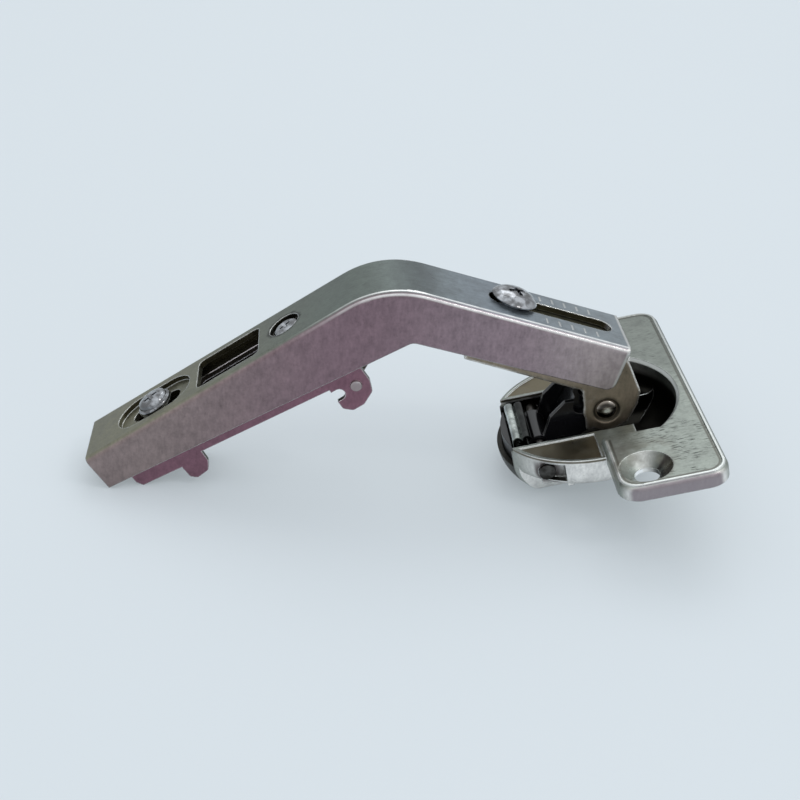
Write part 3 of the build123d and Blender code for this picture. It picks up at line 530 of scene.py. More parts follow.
@dataclass(frozen=True)
class ArmSteel(PlatedSteel):
    """Plating of the bent arm, with stamped ticks beside the slot and a polished fold, both given
    painted highlights.

    Runs are in millimetres from the nose's end, but the bend's is along the hinge. Folds and
    the bend's sides are shares of a normal that looks sideways, folds with their softness.
    """

    tick_pitch: float = 2.4
    tick_width: float = 0.16
    tick_soft: float = 0.12
    tick_rows: Span = (3.4, 5.3)
    tick_run: Span = (4.4, 17.6)
    tick_painted_highlight: float = 0.55
    tick_depth: float = 5.0
    nose_top: Span = (-0.4, -0.2)
    bend_run: Span = (0.0, 6.0)
    bend_soft: float = 2.5
    bend_sides: Span = (0.3, 0.6)
    bend_painted_shade: float = 0.35
    collar_screw: str = "small_screw_turn"
    collar_span: Span = (3.8, 3.1)
    collar_scale: float = 900.0
    collar_ragged: float = 1.2
    collar_dark: float = 0.75
    folds: tuple[tuple[float, float, float], ...] = ((0.20, 0.46, 0.07), (0.74, 0.93, 0.05))
    fold_fade: Span = (60.0, 42.0)
    fold_gloss: float = 0.15
    lip_run: Span = (-0.2, 0.5)
    lip_soft: float = 0.15
    broken_scale: float = 500.0
    # Colour of the painted highlight along the folds.
    polished: Colour = (0.78, 0.77, 0.76)

    def collar(self, sheet: NodeSheet) -> Wire:
        """1 in a ragged ring on the top around the small screw.

        Args:
            sheet: Node sheet of the material.

        Returns:
            The mask.
        """
        joint = JOINTS[self.collar_screw]
        offset = sheet.vectors("SUBTRACT", sheet.place, tuple(joint["pos_m"]))
        arm = sheet.vectors("CROSS_PRODUCT", offset, tuple(joint["axis"]))
        length = sheet.node(
            "ShaderNodeVectorMath", {"operation": "LENGTH"}, {0: arm}, output="Value"
        )
        ragged = length / MM + (sheet.noise(self.collar_scale) - 0.5) * self.collar_ragged
        return sheet.rise(ragged, *self.collar_span)

    def ticks(self, sheet: NodeSheet, back: Wire) -> Wire:
        """1 on the stamped ticks beside the slot.

        Args:
            sheet: Node sheet of the material.
            back: Distance from the nose's end.

        Returns:
            The mask.
        """
        above = sheet.along(NOSE_END, NOSE_UP)
        beside = abs(sheet.along(ORIGIN, ACROSS))
        turn = sheet.sum_up(Maths.FRACTION, back / self.tick_pitch)
        from_tick = abs(turn - 0.5) * self.tick_pitch
        row = sheet.band(beside, *self.tick_rows, 0.08) * sheet.rise(above, *self.nose_top)
        line = 1 - sheet.rise(from_tick, self.tick_width, self.tick_width + self.tick_soft)
        return row * sheet.band(back, *self.tick_run, 0.1) * line

    def details(self, sheet: NodeSheet, coats: Coats) -> None:
        """Stamp the ticks, paint highlights on them, the folds and the nose's end, paint shade over
        the bend and darken a ragged ring around the small screw.

        Args:
            sheet: Node sheet of the material.
            coats: Coats that the marks go on.
        """
        back = sheet.along(NOSE_END, NOSE_BACK)
        tick = self.ticks(sheet, back)
        # Painted highlight on the stamped ticks.
        coats.paint(tick * self.tick_painted_highlight, self.worn)
        coats.height += tick * self.tick_depth
        sideways = self.sideways(sheet)
        # Painted shade over the top of the bend.
        bend = sheet.band(sheet.along(ORIGIN, ALONG), *self.bend_run, self.bend_soft)
        bend = bend * (1 - sheet.rise(sideways, *self.bend_sides))
        coats.shade(1 - bend * self.bend_painted_shade)
        coats.shade(1 - self.collar(sheet) * self.collar_dark)
        # Painted highlight along the nose's folds, which are also glossier.
        fold = sheet.band(sideways, *self.folds[0]) + sheet.band(sideways, *self.folds[1])
        fold = fold * sheet.rise(back, *self.fold_fade) * (1 - self.inward(sheet))
        line = fold * (0.35 + sheet.noise(self.broken_scale) * 0.9)
        coats.paint(sheet.least(line, 1.0), self.polished)
        coats.roughness -= fold * self.fold_gloss
        # Pale line along the nose's end: wear and a painted highlight.
        lip = sheet.band(back, *self.lip_run, self.lip_soft)
        lip = lip * (0.4 + sheet.noise(self.broken_scale) * 0.8)
        coats.paint(sheet.least(lip, 0.8), self.worn)


@dataclass(frozen=True)
class CupSurvey:
    """Places on the cup in millimetres: up from its mouth, out to the flange and across."""

    depth: Wire
    out: Wire
    across: Wire
    beside: Wire

    @classmethod
    def of(cls, sheet: NodeSheet) -> "CupSurvey":
        """Survey of one material.

        Args:
            sheet: Node sheet of the material.

        Returns:
            The places on the cup.
        """
        across = sheet.along(ORIGIN, ACROSS)
        depth, out = sheet.along(MOUTH_CENTRE, MOUTH_UP), sheet.along(MOUTH_CENTRE, MOUTH_OUT)
        return cls(depth, out, across, abs(across))


@dataclass(frozen=True)
class CupSteel(PlatedSteel):
    """Plating of the drawn cup: painted shade inside, darker olive ledges, scratched flange,
    painted highlights on the rim.

    The rim's line is a rectangle with round corners around the flange's middle, and its step
    and crest are millimetres outside that line. Other places are the survey's millimetres.
    """

    # Painted shade in the cup's hollow and on its round end.
    inside: Colour = (0.016, 0.015, 0.012)
    # Darker olive tone of the ledges.
    ledge_olive: Colour = (0.125, 0.105, 0.066)
    # Painted shade on the flange around its screws.
    screw_shade: Colour = (0.17, 0.165, 0.135)
    # Painted shade in the pin's pockets.
    pocket: Colour = (0.07, 0.05, 0.05)
    # Painted shade in the step inside the bead.
    groove: Colour = (0.10, 0.095, 0.08)
    # Painted shade on the flange's end faces.
    end_face: Colour = (0.23, 0.185, 0.21)
    rim_middle: float = 9.875
    rim_run: Span = (5.575, 25.95)
    rim_corner: float = 3.2
    rim_step: Span = (-0.75, -0.38)
    rim_crest: Span = (-0.12, 0.32)
    rim_soft: float = 0.1
    crest_scale: float = 400.0
    flange_top: Span = (0.9, 1.1)
    flange_start: Span = (3.0, 9.0)
    flange_side: Span = (0.3, 0.9)
    flange_end: Span = (29.0, 29.6)
    end_sides: Span = (0.4, 0.8)
    beside_well: Span = (13.6, 14.4)
    past_links: Span = (4.0, 6.0)
    well_slope: Span = (0.55, 1.08)
    well_sides: Span = (16.5, 15.5)
    well_far: Span = (17.2, 16.6)
    well_near: Span = (1.0, 2.0)
    screw_row: float = 6.0
    screw_side: float = 24.0
    dish_span: Span = (4.9, 4.5)
    dish_slope: Span = (0.93, 0.80)
    dish_gloss: float = 0.16
    near_end: Span = (-4.0, -16.0)
    far_end: Span = (-12.0, 22.0)
    # Painted shade over the far part of the cup.
    far_painted_shade: float = 0.36
    dash_size: Place = (0.0016, 0.00024, 0.0030)
    dash_peaks: Span = (0.57, 0.65)
    dash_patches: Span = (0.42, 0.56)
    patch_scale: float = 260.0
    ledge_depth: Span = (-0.55, -0.15)
    ledge_end: Span = (0.0, 0.6)
    stain_run: Span = (17.0, 27.5)
    stain_soft: float = 2.5
    stain_fade: Span = (9.0, 13.0)
    stain_depth: Span = (-0.4, 0.2)
    stain_patches: Span = (0.38, 0.62)
    pocket_span: Span = (3.4, 1.6)
    pocket_side: Span = (12.3, 12.9)
    notch_out: Span = (-14.2, -14.9)
    notch_side: Span = (8.4, 7.9)
    notch_depth: Span = (-0.6, -1.2)
    unworn_out: Span = (-13.4, -14.2)
    unworn_side: Span = (9.2, 8.6)
    heart_depth: float = 2.0
    hollow_faces: Span = (0.6, -0.6)
    hollow_depth: Span = (-0.7, -2.2)

    def rim(self, sheet: NodeSheet, survey: CupSurvey) -> Wire:
        """Distance outside the line that the flange's bead follows.

        Args:
            sheet: Node sheet of the material.
            survey: Places on the cup.

        Returns:
            The distance in millimetres, less than 0 inside the line.
        """
        past_out = sheet.most(abs(survey.out - self.rim_middle) - self.rim_run[0], 0.0)
        past_side = sheet.most(survey.beside - self.rim_run[1], 0.0)
        return sheet.hypotenuse(past_out, past_side) - self.rim_corner

    def paint_rim_light(self, sheet: NodeSheet, coats: Coats, survey: CupSurvey) -> None:
        """Paint highlights on the flange's bead and the well's edge, and paint shade on the step
        inside the bead.

        Args:
            sheet: Node sheet of the material.
            coats: Coats that the marks go on.
            survey: Places on the cup.
        """
        out, beside = survey.out, survey.beside
        outside = self.rim(sheet, survey)
        gate = sheet.most(
            sheet.rise(beside, *self.beside_well), sheet.rise(out, *self.past_links)
        ) * sheet.rise(survey.depth, *self.flange_top)
        # Painted shade in the step inside the bead.
        step = sheet.band(outside, *self.rim_step, self.rim_soft) * gate
        coats.paint(step * 0.75, self.groove)
        # Painted highlight on the bead's crest.
        crest = sheet.band(outside, *self.rim_crest, self.rim_soft) * gate
        crest = crest * (0.4 + sheet.noise(self.crest_scale))
        coats.paint(sheet.least(crest, 0.75), self.worn)
        # Painted highlight on the well's edge.
        well = sheet.band(survey.depth, *self.well_slope, 0.06)
        well = well * sheet.rise(beside, *self.well_sides)
        well = well * sheet.rise(out, *self.well_far) * sheet.rise(out, *self.well_near)
        coats.paint(well * 0.7, self.worn)

    def gloss_dish_and_paint_its_light(self, sheet: NodeSheet, coats: Coats, survey: CupSurvey) -> None:
        """Make the screw dishes glossy, with painted light on the wall that looks to the far edge
        and painted shade on the wall opposite.

        Args:
            sheet: Node sheet of the material.
            coats: Coats that the marks go on.
            survey: Places on the cup.
        """
        from_row, from_side = survey.out - self.screw_row, survey.beside - self.screw_side
        away = sheet.hypotenuse(from_row, from_side)
        steep = sheet.rise(abs(self.facing(sheet, Axis.UP)), *self.dish_slope)
        dish = sheet.rise(away, *self.dish_span) * steep
        # Painted light on the dish wall that looks to the far edge, painted shade on the wall
        # opposite.
        light = self.facing(sheet, Axis.ALONG) * 1.1 + 0.1
        coats.shade(1 + dish * light)
        coats.roughness -= dish * self.dish_gloss

    def scratch(self, sheet: NodeSheet, coats: Coats, survey: CupSurvey, patch: Wire) -> None:
        """Scratch the flange, most at its near end.

        Args:
            sheet: Node sheet of the material.
            coats: Coats that the marks go on.
            survey: Places on the cup.
            patch: Noise that gathers the scratches in patches.
        """
        near_end = sheet.rise(survey.across, *self.near_end)
        dash = sheet.rise(sheet.drawn_noise(self.dash_size) + near_end * 0.03, *self.dash_peaks)
        dash = dash * sheet.rise(patch, *self.dash_patches)
        dash = dash * sheet.rise(survey.out, *self.flange_start)
        dash = dash * sheet.rise(survey.depth, *self.flange_side)
        coats.shade(1 - dash * (0.4 + near_end * 0.35))

    def inward(self, sheet: NodeSheet) -> Term:
        """0, because the cup's hollow gets its painted shade from its depth instead."""
        return 0.0

    def rubbed(self, sheet: NodeSheet) -> Term:
        """No wear at the cup's round end, under the notch.

        Args:
            sheet: Node sheet of the material.

        Returns:
            The share of the wear.
        """
        survey = CupSurvey.of(sheet)
        at_end = sheet.rise(survey.out, *self.unworn_out)
        return 1 - at_end * sheet.rise(survey.beside, *self.unworn_side)

    def hollow(self, sheet: NodeSheet, depth: Wire) -> Wire:
        """1 on the faces that look into the cup, under its mouth.

        Args:
            sheet: Node sheet of the material.
            depth: Height over the mouth, in millimetres.

        Returns:
            The mask.
        """
        heart = tuple(m - self.heart_depth * MM * up for m, up in zip(MOUTH_CENTRE, MOUTH_UP))
        away = sheet.dot(sheet.vectors("SUBTRACT", sheet.place, heart), sheet.facing)
        return sheet.rise(away / MM, *self.hollow_faces) * sheet.rise(depth, *self.hollow_depth)

    def shade_flange_and_tone_ledges(self, sheet: NodeSheet, coats: Coats, survey: CupSurvey, patch: Wire) -> None:
        """Paint shade on the flange's end faces, on its far part and around its screws, and give
        the ledges a darker olive tone.

        Args:
            sheet: Node sheet of the material.
            coats: Coats that the marks go on.
            survey: Places on the cup.
            patch: Noise that makes the ledge tone and the painted shade at the screws uneven.
        """
        depth, out, beside = survey.depth, survey.out, survey.beside
        # Painted shade on the sideways faces at the flange's ends.
        on_side = sheet.rise(self.sideways(sheet), *self.end_sides)
        coats.paint(sheet.rise(beside, *self.flange_end) * on_side * 0.85, self.end_face)
        # Painted shade over the far part of the cup.
        coats.shade(1 - sheet.rise(survey.across, *self.far_end) * self.far_painted_shade)
        # Darker olive tone on the ledges.
        ledge = sheet.band(depth, *self.ledge_depth, 0.1) * (1 - sheet.rise(out, *self.ledge_end))
        coats.paint(sheet.least(ledge * (0.6 + patch * 0.7), 0.95), self.ledge_olive)
        # Painted shade on the flange around its screws.
        screw = sheet.band(beside, *self.stain_run, self.stain_soft)
        screw = screw * (1 - sheet.rise(out, *self.stain_fade))
        screw = screw * sheet.rise(depth, *self.stain_depth)
        coats.paint(screw * sheet.rise(patch, *self.stain_patches) * 0.7, self.screw_shade)

    def paint_shade_inside(self, sheet: NodeSheet, coats: Coats, survey: CupSurvey) -> None:
        """Paint shade in the pin's pockets, on the round end under the notch and in the hollow of
        the cup.

        Args:
            sheet: Node sheet of the material.
            coats: Coats that the marks go on.
            survey: Places on the cup.
        """
        # Painted shade in the pin's pockets.
        pin_out = sheet.along(CUP_PIN_CENTRE, MOUTH_OUT)
        from_pin = sheet.hypotenuse(pin_out, sheet.along(CUP_PIN_CENTRE, MOUTH_UP))
        pocket = sheet.rise(from_pin, *self.pocket_span)
        coats.paint(pocket * sheet.rise(survey.beside, *self.pocket_side) * 0.9, self.pocket)
        # Painted shade on the round end under the notch.
        notch = sheet.rise(survey.out, *self.notch_out)
        notch = notch * sheet.rise(survey.beside, *self.notch_side)
        coats.paint(notch * sheet.rise(survey.depth, *self.notch_depth) * 0.92, self.inside)
        # Painted shade in the hollow of the cup.
        coats.paint(self.hollow(sheet, survey.depth), self.inside)

    def details(self, sheet: NodeSheet, coats: Coats) -> None:
        """Scratch the flange, paint light and shade on its rim, dishes and top, tone the ledges,
        then paint shade inside.

        Args:
            sheet: Node sheet of the material.
            coats: Coats that the marks go on.
        """
        survey = CupSurvey.of(sheet)
        patch = sheet.noise(self.patch_scale, 4.0)
        self.scratch(sheet, coats, survey, patch)
        self.paint_rim_light(sheet, coats, survey)
        self.gloss_dish_and_paint_its_light(sheet, coats, survey)
        self.shade_flange_and_tone_ledges(sheet, coats, survey, patch)
        self.paint_shade_inside(sheet, coats, survey)


@dataclass(frozen=True)
class BrightSteel:
    """Turned or polished steel of pins, springs, nuts and screws."""

    name: str
    colour: Colour
    dark: Colour
    roughness: float = 0.26
    streak: float = 0.16
    edge: float = 0.00015
    scale: float = 420.0
    fine_scale: float = 3500.0
    patches: Span = (0.42, 0.62)
    fine_gloss: float = 0.15
    cloud_gloss: float = 0.2
    relief: float = 0.00001

    def make(self) -> bpy.types.Material:
        """Build the material.

        Returns:
            The finished material.
        """
        sheet = NodeSheet(bpy.data.materials.new(self.name))
        cloud = sheet.noise(self.scale, 4.0)
        fine = sheet.noise(self.fine_scale, 2.0)
        share = 1.0 + (cloud - 0.5) * (2 * self.streak) + (fine - 0.5) * self.streak
        roughness = self.roughness + (fine - 0.5) * self.fine_gloss
        roughness = roughness + (cloud - 0.5) * self.cloud_gloss
        tone = sheet.blend(sheet.rise(cloud, *self.patches), self.dark, self.colour)
        tone = self.with_painted_light(sheet, sheet.shade(tone, share))
        return sheet.close(
            sheet.surface(Coats(tone, roughness, fine), 1.0, self.relief, self.edge)
        )

    def with_painted_light(self, sheet: NodeSheet, tone: Wire) -> Wire:
        """Tone with the painted light of the part on it, none on plain bright steel."""
        return tone


@dataclass(frozen=True)
class SpringSteel(BrightSteel):
    """Bright leaf of the closing spring, with painted shade on it behind its first fold."""

    bright_to: float = -13.1
    fold_shade_soft: float = 0.3
    fold_shade: float = 0.94

    def with_painted_light(self, sheet: NodeSheet, tone: Wire) -> Wire:
        """Tone with painted shade on the leaf behind its first fold.

        Args:
            sheet: Node sheet of the material.
            tone: Tone of the bare leaf.

        Returns:
            The tone with its painted light.
        """
        out = sheet.along(MOUTH_CENTRE, MOUTH_OUT)
        # Painted shade on the leaf behind its first fold.
        painted_shade = sheet.rise(out, self.bright_to - self.fold_shade_soft, self.bright_to + self.fold_shade_soft)
        return sheet.shade(tone, 1 - painted_shade * self.fold_shade)


def from_rivet(sheet: NodeSheet) -> Wire:
    """Distance from the nose rivet's axis, in millimetres."""
    out, up = sheet.along(RIVET_CENTRE, ALONG), sheet.along(RIVET_CENTRE, UPWARD)
    return sheet.hypotenuse(out, up)


@dataclass(frozen=True)
class RivetSteel(BrightSteel):
    """Steel of the nose rivet: a painted highlight on its crown in a ring of painted shade."""

    # Colour of the painted highlight on the crown.
    shine: Colour = (0.95, 0.92, 0.88)
    crown: float = 0.75
    crown_soft: float = 0.5
    rim: float = 1.55
    rim_soft: float = 0.3

    def with_painted_light(self, sheet: NodeSheet, tone: Wire) -> Wire:
        """Tone with a painted highlight on the crown and painted shade on the rest of the head.

        Args:
            sheet: Node sheet of the material.
            tone: Tone of the bare rivet.

        Returns:
            The oiled tone.
        """
        # Painted highlight on the crown, painted shade on the head around it.
        away = from_rivet(sheet)
        on_crown = sheet.rise(away, self.crown, self.crown - self.crown_soft)
        painted_shade = sheet.band(away, self.crown, self.rim, self.rim_soft)
        return sheet.shade(sheet.blend(on_crown, tone, self.shine), 1 - painted_shade * 0.8)


@dataclass(frozen=True)
class NosePlating(PlatedSteel):
    """Plating of the nose slide's cheeks, with painted shade in the ring around the rivet's head.
    """

    ring: Span = (1.95, 2.45)
    unworn: Span = (2.6, 3.3)
    painted_shade: Colour = (0.025, 0.02, 0.014)

    def rubbed(self, sheet: NodeSheet) -> Term:
        """No wear in the ring around the rivet."""
        return sheet.rise(from_rivet(sheet), *self.unworn)

    def details(self, sheet: NodeSheet, coats: Coats) -> None:
        """Paint shade into the ring around the rivet."""
        # Painted shade in the ring around the rivet's head.
        ring = sheet.band(from_rivet(sheet), *self.ring, 0.12)
        coats.paint(ring * 0.85, self.painted_shade)


@dataclass(frozen=True)
class BlackFinish:
    """Blackened link steel, or black nylon when it has no metal in it."""

    name: str
    colour: Colour
    rubbed: Colour
    metallic: float
    roughness: float
    edge: float = 0.0002
    cloud_scale: float = 300.0
    fine_scale: float = 2600.0
    rub_patches: Span = (0.40, 0.65)
    fine_gloss: float = 0.1
    cloud_gloss: float = 0.2
    cloud_tone: float = 0.5
    relief: float = 0.00001

    def make(self) -> bpy.types.Material:
        """Build the material.

        Returns:
            The finished material.
        """
        sheet = NodeSheet(bpy.data.materials.new(self.name))
        cloud = sheet.noise(self.cloud_scale)
        fine = sheet.noise(self.fine_scale, 2.0)
        rub = sheet.worn_edge(self.edge) * sheet.rise(cloud, *self.rub_patches)
        roughness = self.roughness + (cloud - 0.5) * self.cloud_gloss
        roughness = roughness + (fine - 0.5) * self.fine_gloss
        coats = Coats(sheet.blend(rub, self.colour, self.rubbed), roughness, fine)
        coats.shade(1.0 + (cloud - 0.5) * self.cloud_tone)
        return sheet.close(sheet.surface(coats, self.metallic, self.relief, self.edge))


def dress(node: str, material: bpy.types.Material) -> None:
    """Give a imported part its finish.

    Args:
        node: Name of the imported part.
        material: Its finish.
    """
    slots = frame["nodes"][node].data.materials
    slots.clear()
    slots.append(material)
    LOG.info("dressed %s with %s", node, material.name)


def turned(work: bmesh.types.BMesh, profile: Profile, steps: int = 48) -> None:
    """Spin a profile around the Z axis.

    Args:
        work: Mesh that gets the turned shape.
        profile: Radius and height of its points, in millimetres.
        steps: Faces around the axis.
    """
    spots = [work.verts.new((radius * MM, 0.0, height * MM)) for radius, height in profile]
    edges = [work.edges.new(pair) for pair in zip(spots, spots[1:])]
    bmesh.ops.spin(
        work, geom=spots + edges, cent=ORIGIN, axis=UPWARD, dvec=ORIGIN,
        angle=math.tau, steps=steps, use_merge=True,
    )
    bmesh.ops.remove_doubles(work, verts=work.verts, dist=1e-7)
    bmesh.ops.recalc_face_normals(work, faces=work.faces)


def thread(
    work: bmesh.types.BMesh, radius: float, top: float, length: float, pitch: float, steps: int = 20
) -> None:
    """Wind a thread's tooth around the Z axis.

    Args:
        work: Mesh that gets the tooth.
        radius: Radius of the tooth's tip, in millimetres.
        top: Height where it starts.
        length: Height that it runs down.
        pitch: Height of one turn.
        steps: Faces around one turn.
    """
    depth = 0.5 * pitch
    corners = ((radius - depth, 0.42 * pitch), (radius, 0.0), (radius - depth, -0.42 * pitch))
    spots = [work.verts.new((r * MM, 0.0, (top + h) * MM)) for r, h in corners]
    tooth = work.faces.new(spots)
    turns = length / pitch
    bmesh.ops.spin(
        work, geom=[tooth, *tooth.edges, *spots], cent=ORIGIN, axis=UPWARD,
        dvec=(0, 0, -pitch * MM / steps), angle=math.tau * turns, steps=round(steps * turns),
    )
    close_ends(work)


def close_ends(work: bmesh.types.BMesh) -> None:
    """Fill the open ends of a mesh and turn its faces outwards.

    Args:
        work: Mesh whose ends are open.
    """
    open_edges = [edge for edge in work.edges if edge.is_boundary]
    bmesh.ops.holes_fill(work, edges=open_edges, sides=0)
    bmesh.ops.recalc_face_normals(work, faces=work.faces)


def as_object(name: str, work: bmesh.types.BMesh) -> bpy.types.Object:
    """Close a mesh in hand into an object of the scene.

    Args:
        name: Name of the object and its mesh.
        work: Mesh in hand, which is freed.

    Returns:
        The object.
    """
    mesh = bpy.data.meshes.new(name)
    work.to_mesh(mesh)
    work.free()
    made = bpy.data.objects.new(name, mesh)
    bpy.context.scene.collection.objects.link(made)
    return made


def cut(piece: bpy.types.Object, cutter: bpy.types.Object) -> None:
    """Cut one object out of another and remove the cutter.

    Args:
        piece: Object that is cut.
        cutter: Object that is cut out of it.
    """
    modifier = piece.modifiers.new("cut", "BOOLEAN")
    modifier.operation = "DIFFERENCE"
    modifier.solver = "EXACT"
    modifier.object = cutter
    graph = bpy.context.evaluated_depsgraph_get()
    result = bpy.data.meshes.new_from_object(piece.evaluated_get(graph))
    piece.modifiers.clear()
    piece.data = result
    bpy.data.objects.remove(cutter)


def smooth(piece: bpy.types.Object, angle: float) -> None:
    """Shade a piece smooth except over sharp corners.

    Args:
        piece: Object that is shaded.
        angle: Corners sharper than this stay sharp, in degrees.
    """
    work = bmesh.new()
    work.from_mesh(piece.data)
    for face in work.faces:
        face.smooth = True
    for edge in work.edges:
        edge.smooth = len(edge.link_faces) == 2 and edge.calc_face_angle() < math.radians(angle)
    work.to_mesh(piece.data)
    work.free()


@dataclass(frozen=True)
class TurnedScrew:
    """Cross-recessed screw with a turned head and a rolled thread, in place of its plain part.

    Sizes are in millimetres. The head's profile is radius and height over the seat, and the
    seat is a drop below the joint's place.
    """

    node: str
    body: Body
    joint: str
    drop: float
    head: Profile
    shank: float
    reach: float
    recess_span: float
    recess_width: float = 0.95
    recess_depth: float = 1.1
    recess_turn: float = 20.0
    recess_taper: Place = (0.55, 0.7, 1.0)
    neck: float = 0.4
    tip: float = 0.5
    thread_top: float = -0.9
    thread_short: float = 1.8
    pitch: float = 0.8
    sharp: float = 32.0

    def head_top(self) -> float:
        """Height of the head over the seat, in millimetres."""
        return max(height for _, height in self.head)

    def outline(self) -> Profile:
        """Head, shank and pointed tip.

        Returns:
            Radius and height of the profile's points.
        """
        root = self.shank - 0.45 * self.pitch
        return (
            *self.head,
            (self.shank, self.head[-1][1]), (self.shank, -self.neck),
            (root, -self.neck - self.pitch / 2), (root, self.tip - self.reach),
            (root - self.tip, -self.reach), (0.0, -self.reach),
        )

    def wing(self, turn: float) -> bpy.types.Object:
        """Cutter of one wing of the cross recess, narrower at its bottom.

        Args:
            turn: Angle of the wing around the screw, in degrees.

        Returns:
            The cutter.
        """
        work = bmesh.new()
        spots = bmesh.ops.create_cube(work, size=1.0)["verts"]
        size = (2 * self.recess_span * MM, self.recess_width * MM, 2 * self.recess_depth * MM)
        bmesh.ops.scale(work, verts=spots, vec=size)
        low = [spot for spot in spots if spot.co.z < 0]
        bmesh.ops.scale(work, verts=low, vec=self.recess_taper)
        spin = Matrix.Rotation(math.radians(turn + self.recess_turn), 3, "Z")
        bmesh.ops.rotate(work, verts=spots, cent=ORIGIN, matrix=spin)
        bmesh.ops.translate(work, verts=spots, vec=(0, 0, self.head_top() * MM))
        return as_object(self.node + "_recess", work)

    def build(self, material: bpy.types.Material) -> None:
        """Turn, cut and thread the screw.

        Args:
            material: Its finish.
        """
        work = bmesh.new()
        turned(work, self.outline())
        piece = as_object(self.node + "_turned", work)
        for turn in (0.0, 90.0):
            cut(piece, self.wing(turn))
        work = bmesh.new()
        work.from_mesh(piece.data)
        thread(work, self.shank, self.thread_top, self.reach - self.thread_short, self.pitch)
        axis = Vector(JOINTS[self.joint]["axis"])
        seat = Vector(JOINTS[self.joint]["pos_m"]) - axis * self.drop * MM
        stand = axis.to_track_quat("Z", "Y").to_matrix().to_4x4()
        bmesh.ops.transform(work, matrix=Matrix.Translation(seat) @ stand, verts=work.verts)
        work.to_mesh(piece.data)
        work.free()
        smooth(piece, self.sharp)
        piece.data.materials.clear()
        piece.data.materials.append(material)
        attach(piece, self.body.value)
        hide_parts(self.node)
        LOG.info("turned %s", piece.name)


@dataclass
class FlangeBead:
    """Pressed bead that follows the edge of the screw flange, a little inside it.

    Sizes are in millimetres in the frame of the cup's mouth: near and far are its distances
    out from the cup's centre, and it starts and ends beside the well.
    """

    body: Body = Body.CUP
    near: float = 1.1
    far: float = 18.65
    half: float = 29.15
    start: float = 14.2
    corner: float = 3.2
    top: float = 1.2
    width: float = 0.32
    rise: float = 0.16
    sink: float = 0.3
    segments: int = 12
    steps: int = 8
    sharp: float = 40.0

    def section(self, work: bmesh.types.BMesh) -> bmesh.types.BMFace:
        """Half-round section of the bead where it starts, seen along its run.

        Args:
            work: Mesh that gets the section.

        Returns:
            The section's face.
        """
        spots = bmesh.ops.create_circle(
            work, cap_ends=True, segments=self.segments, radius=self.width * MM
        )["verts"]
        bmesh.ops.scale(work, verts=spots, vec=(1.0, self.rise / self.width, 1.0))
        low = [spot for spot in spots if spot.co.y < -1e-7]
        bmesh.ops.scale(work, verts=low, vec=(1.0, self.sink / self.rise, 1.0))
        stand = Matrix.Rotation(math.radians(90.0), 3, "X")
        bmesh.ops.rotate(work, verts=spots, cent=ORIGIN, matrix=stand)
        start = (self.near * MM, -self.start * MM, self.top * MM)
        bmesh.ops.translate(work, verts=spots, vec=start)
        return next(iter(work.faces))

    def straight(
        self, work: bmesh.types.BMesh, face: bmesh.types.BMFace, out: float, across: float
    ) -> bmesh.types.BMFace:
        """Extrude the bead's end face.

        Args:
            work: Mesh of the bead.
            face: End face of the bead.
            out: Step towards the flange's far edge, in millimetres.
            across: Step across the hinge.

        Returns:
            The new end face.
        """
        grown = bmesh.ops.extrude_face_region(work, geom=[face])["geom"]
        spots = [item for item in grown if isinstance(item, bmesh.types.BMVert)]
        bmesh.ops.translate(work, verts=spots, vec=(out * MM, across * MM, 0))
        return next(item for item in grown if isinstance(item, bmesh.types.BMFace))

    def turn(
        self, work: bmesh.types.BMesh, face: bmesh.types.BMFace, out: float, across: float
    ) -> bmesh.types.BMFace:
        """Spin the bead's end face a quarter turn around a corner.

        Args:
            work: Mesh of the bead.
            face: End face of the bead.
            out: Place of the corner's centre, in millimetres out from the cup's centre.
            across: Its place across the hinge.

        Returns:
            The new end face.
        """
        spun = bmesh.ops.spin(
            work, geom=[face, *face.edges, *face.verts], cent=(out * MM, across * MM, 0),
            axis=UPWARD, dvec=ORIGIN, angle=math.radians(90.0), steps=self.steps,
        )
        return next(item for item in spun["geom_last"] if isinstance(item, bmesh.types.BMFace))

    def build(self, material: bpy.types.Material) -> None:
        """Run the bead around three sides of the flange.

        Args:
            material: Its finish.
        """
        work = bmesh.new()
        face = self.section(work)
        near, far = self.near + self.corner, self.far - self.corner
        half = self.half - self.corner
        steps = ((0.0, self.start - half), (far - near, 0.0), (0.0, 2 * half), (near - far, 0.0))
        corners = ((near, -half), (far, -half), (far, half), (near, half))
        for step, corner in zip(steps, corners):
            face = self.turn(work, self.straight(work, face, *step), *corner)
        self.straight(work, face, *steps[0])
        close_ends(work)
        stand = Matrix((MOUTH_OUT, ACROSS, MOUTH_UP)).transposed().to_4x4()
        place = Matrix.Translation(Vector(MOUTH_CENTRE)) @ stand
        bmesh.ops.transform(work, matrix=place, verts=work.verts)
        piece = as_object("flange_bead", work)
        smooth(piece, self.sharp)
        piece.data.materials.append(material)
        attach(piece, self.body.value)
        LOG.info("pressed %s", piece.name)


@dataclass
class BentArm:
    """Bent channel of the hinge, and the finish of its plating."""

    node: str = "outer_arm"
    # Its top and side tones hold painted light and reflections, and its pale corners are partly
    # painted highlights.
    plating: ArmSteel = ArmSteel(
        "arm_nickel",
        ((0.195, 0.19, 0.14), (0.132, 0.156, 0.139), (0.21, 0.24, 0.27), (0.23, 0.26, 0.28)),
        ((0.275, 0.216, 0.21), (0.236, 0.158, 0.184), (0.285, 0.215, 0.24), (0.415, 0.352, 0.356)),
        wear=1.4,
    )

    def build(self) -> None:
        """Plate the arm."""
        dress(self.node, self.plating.make())


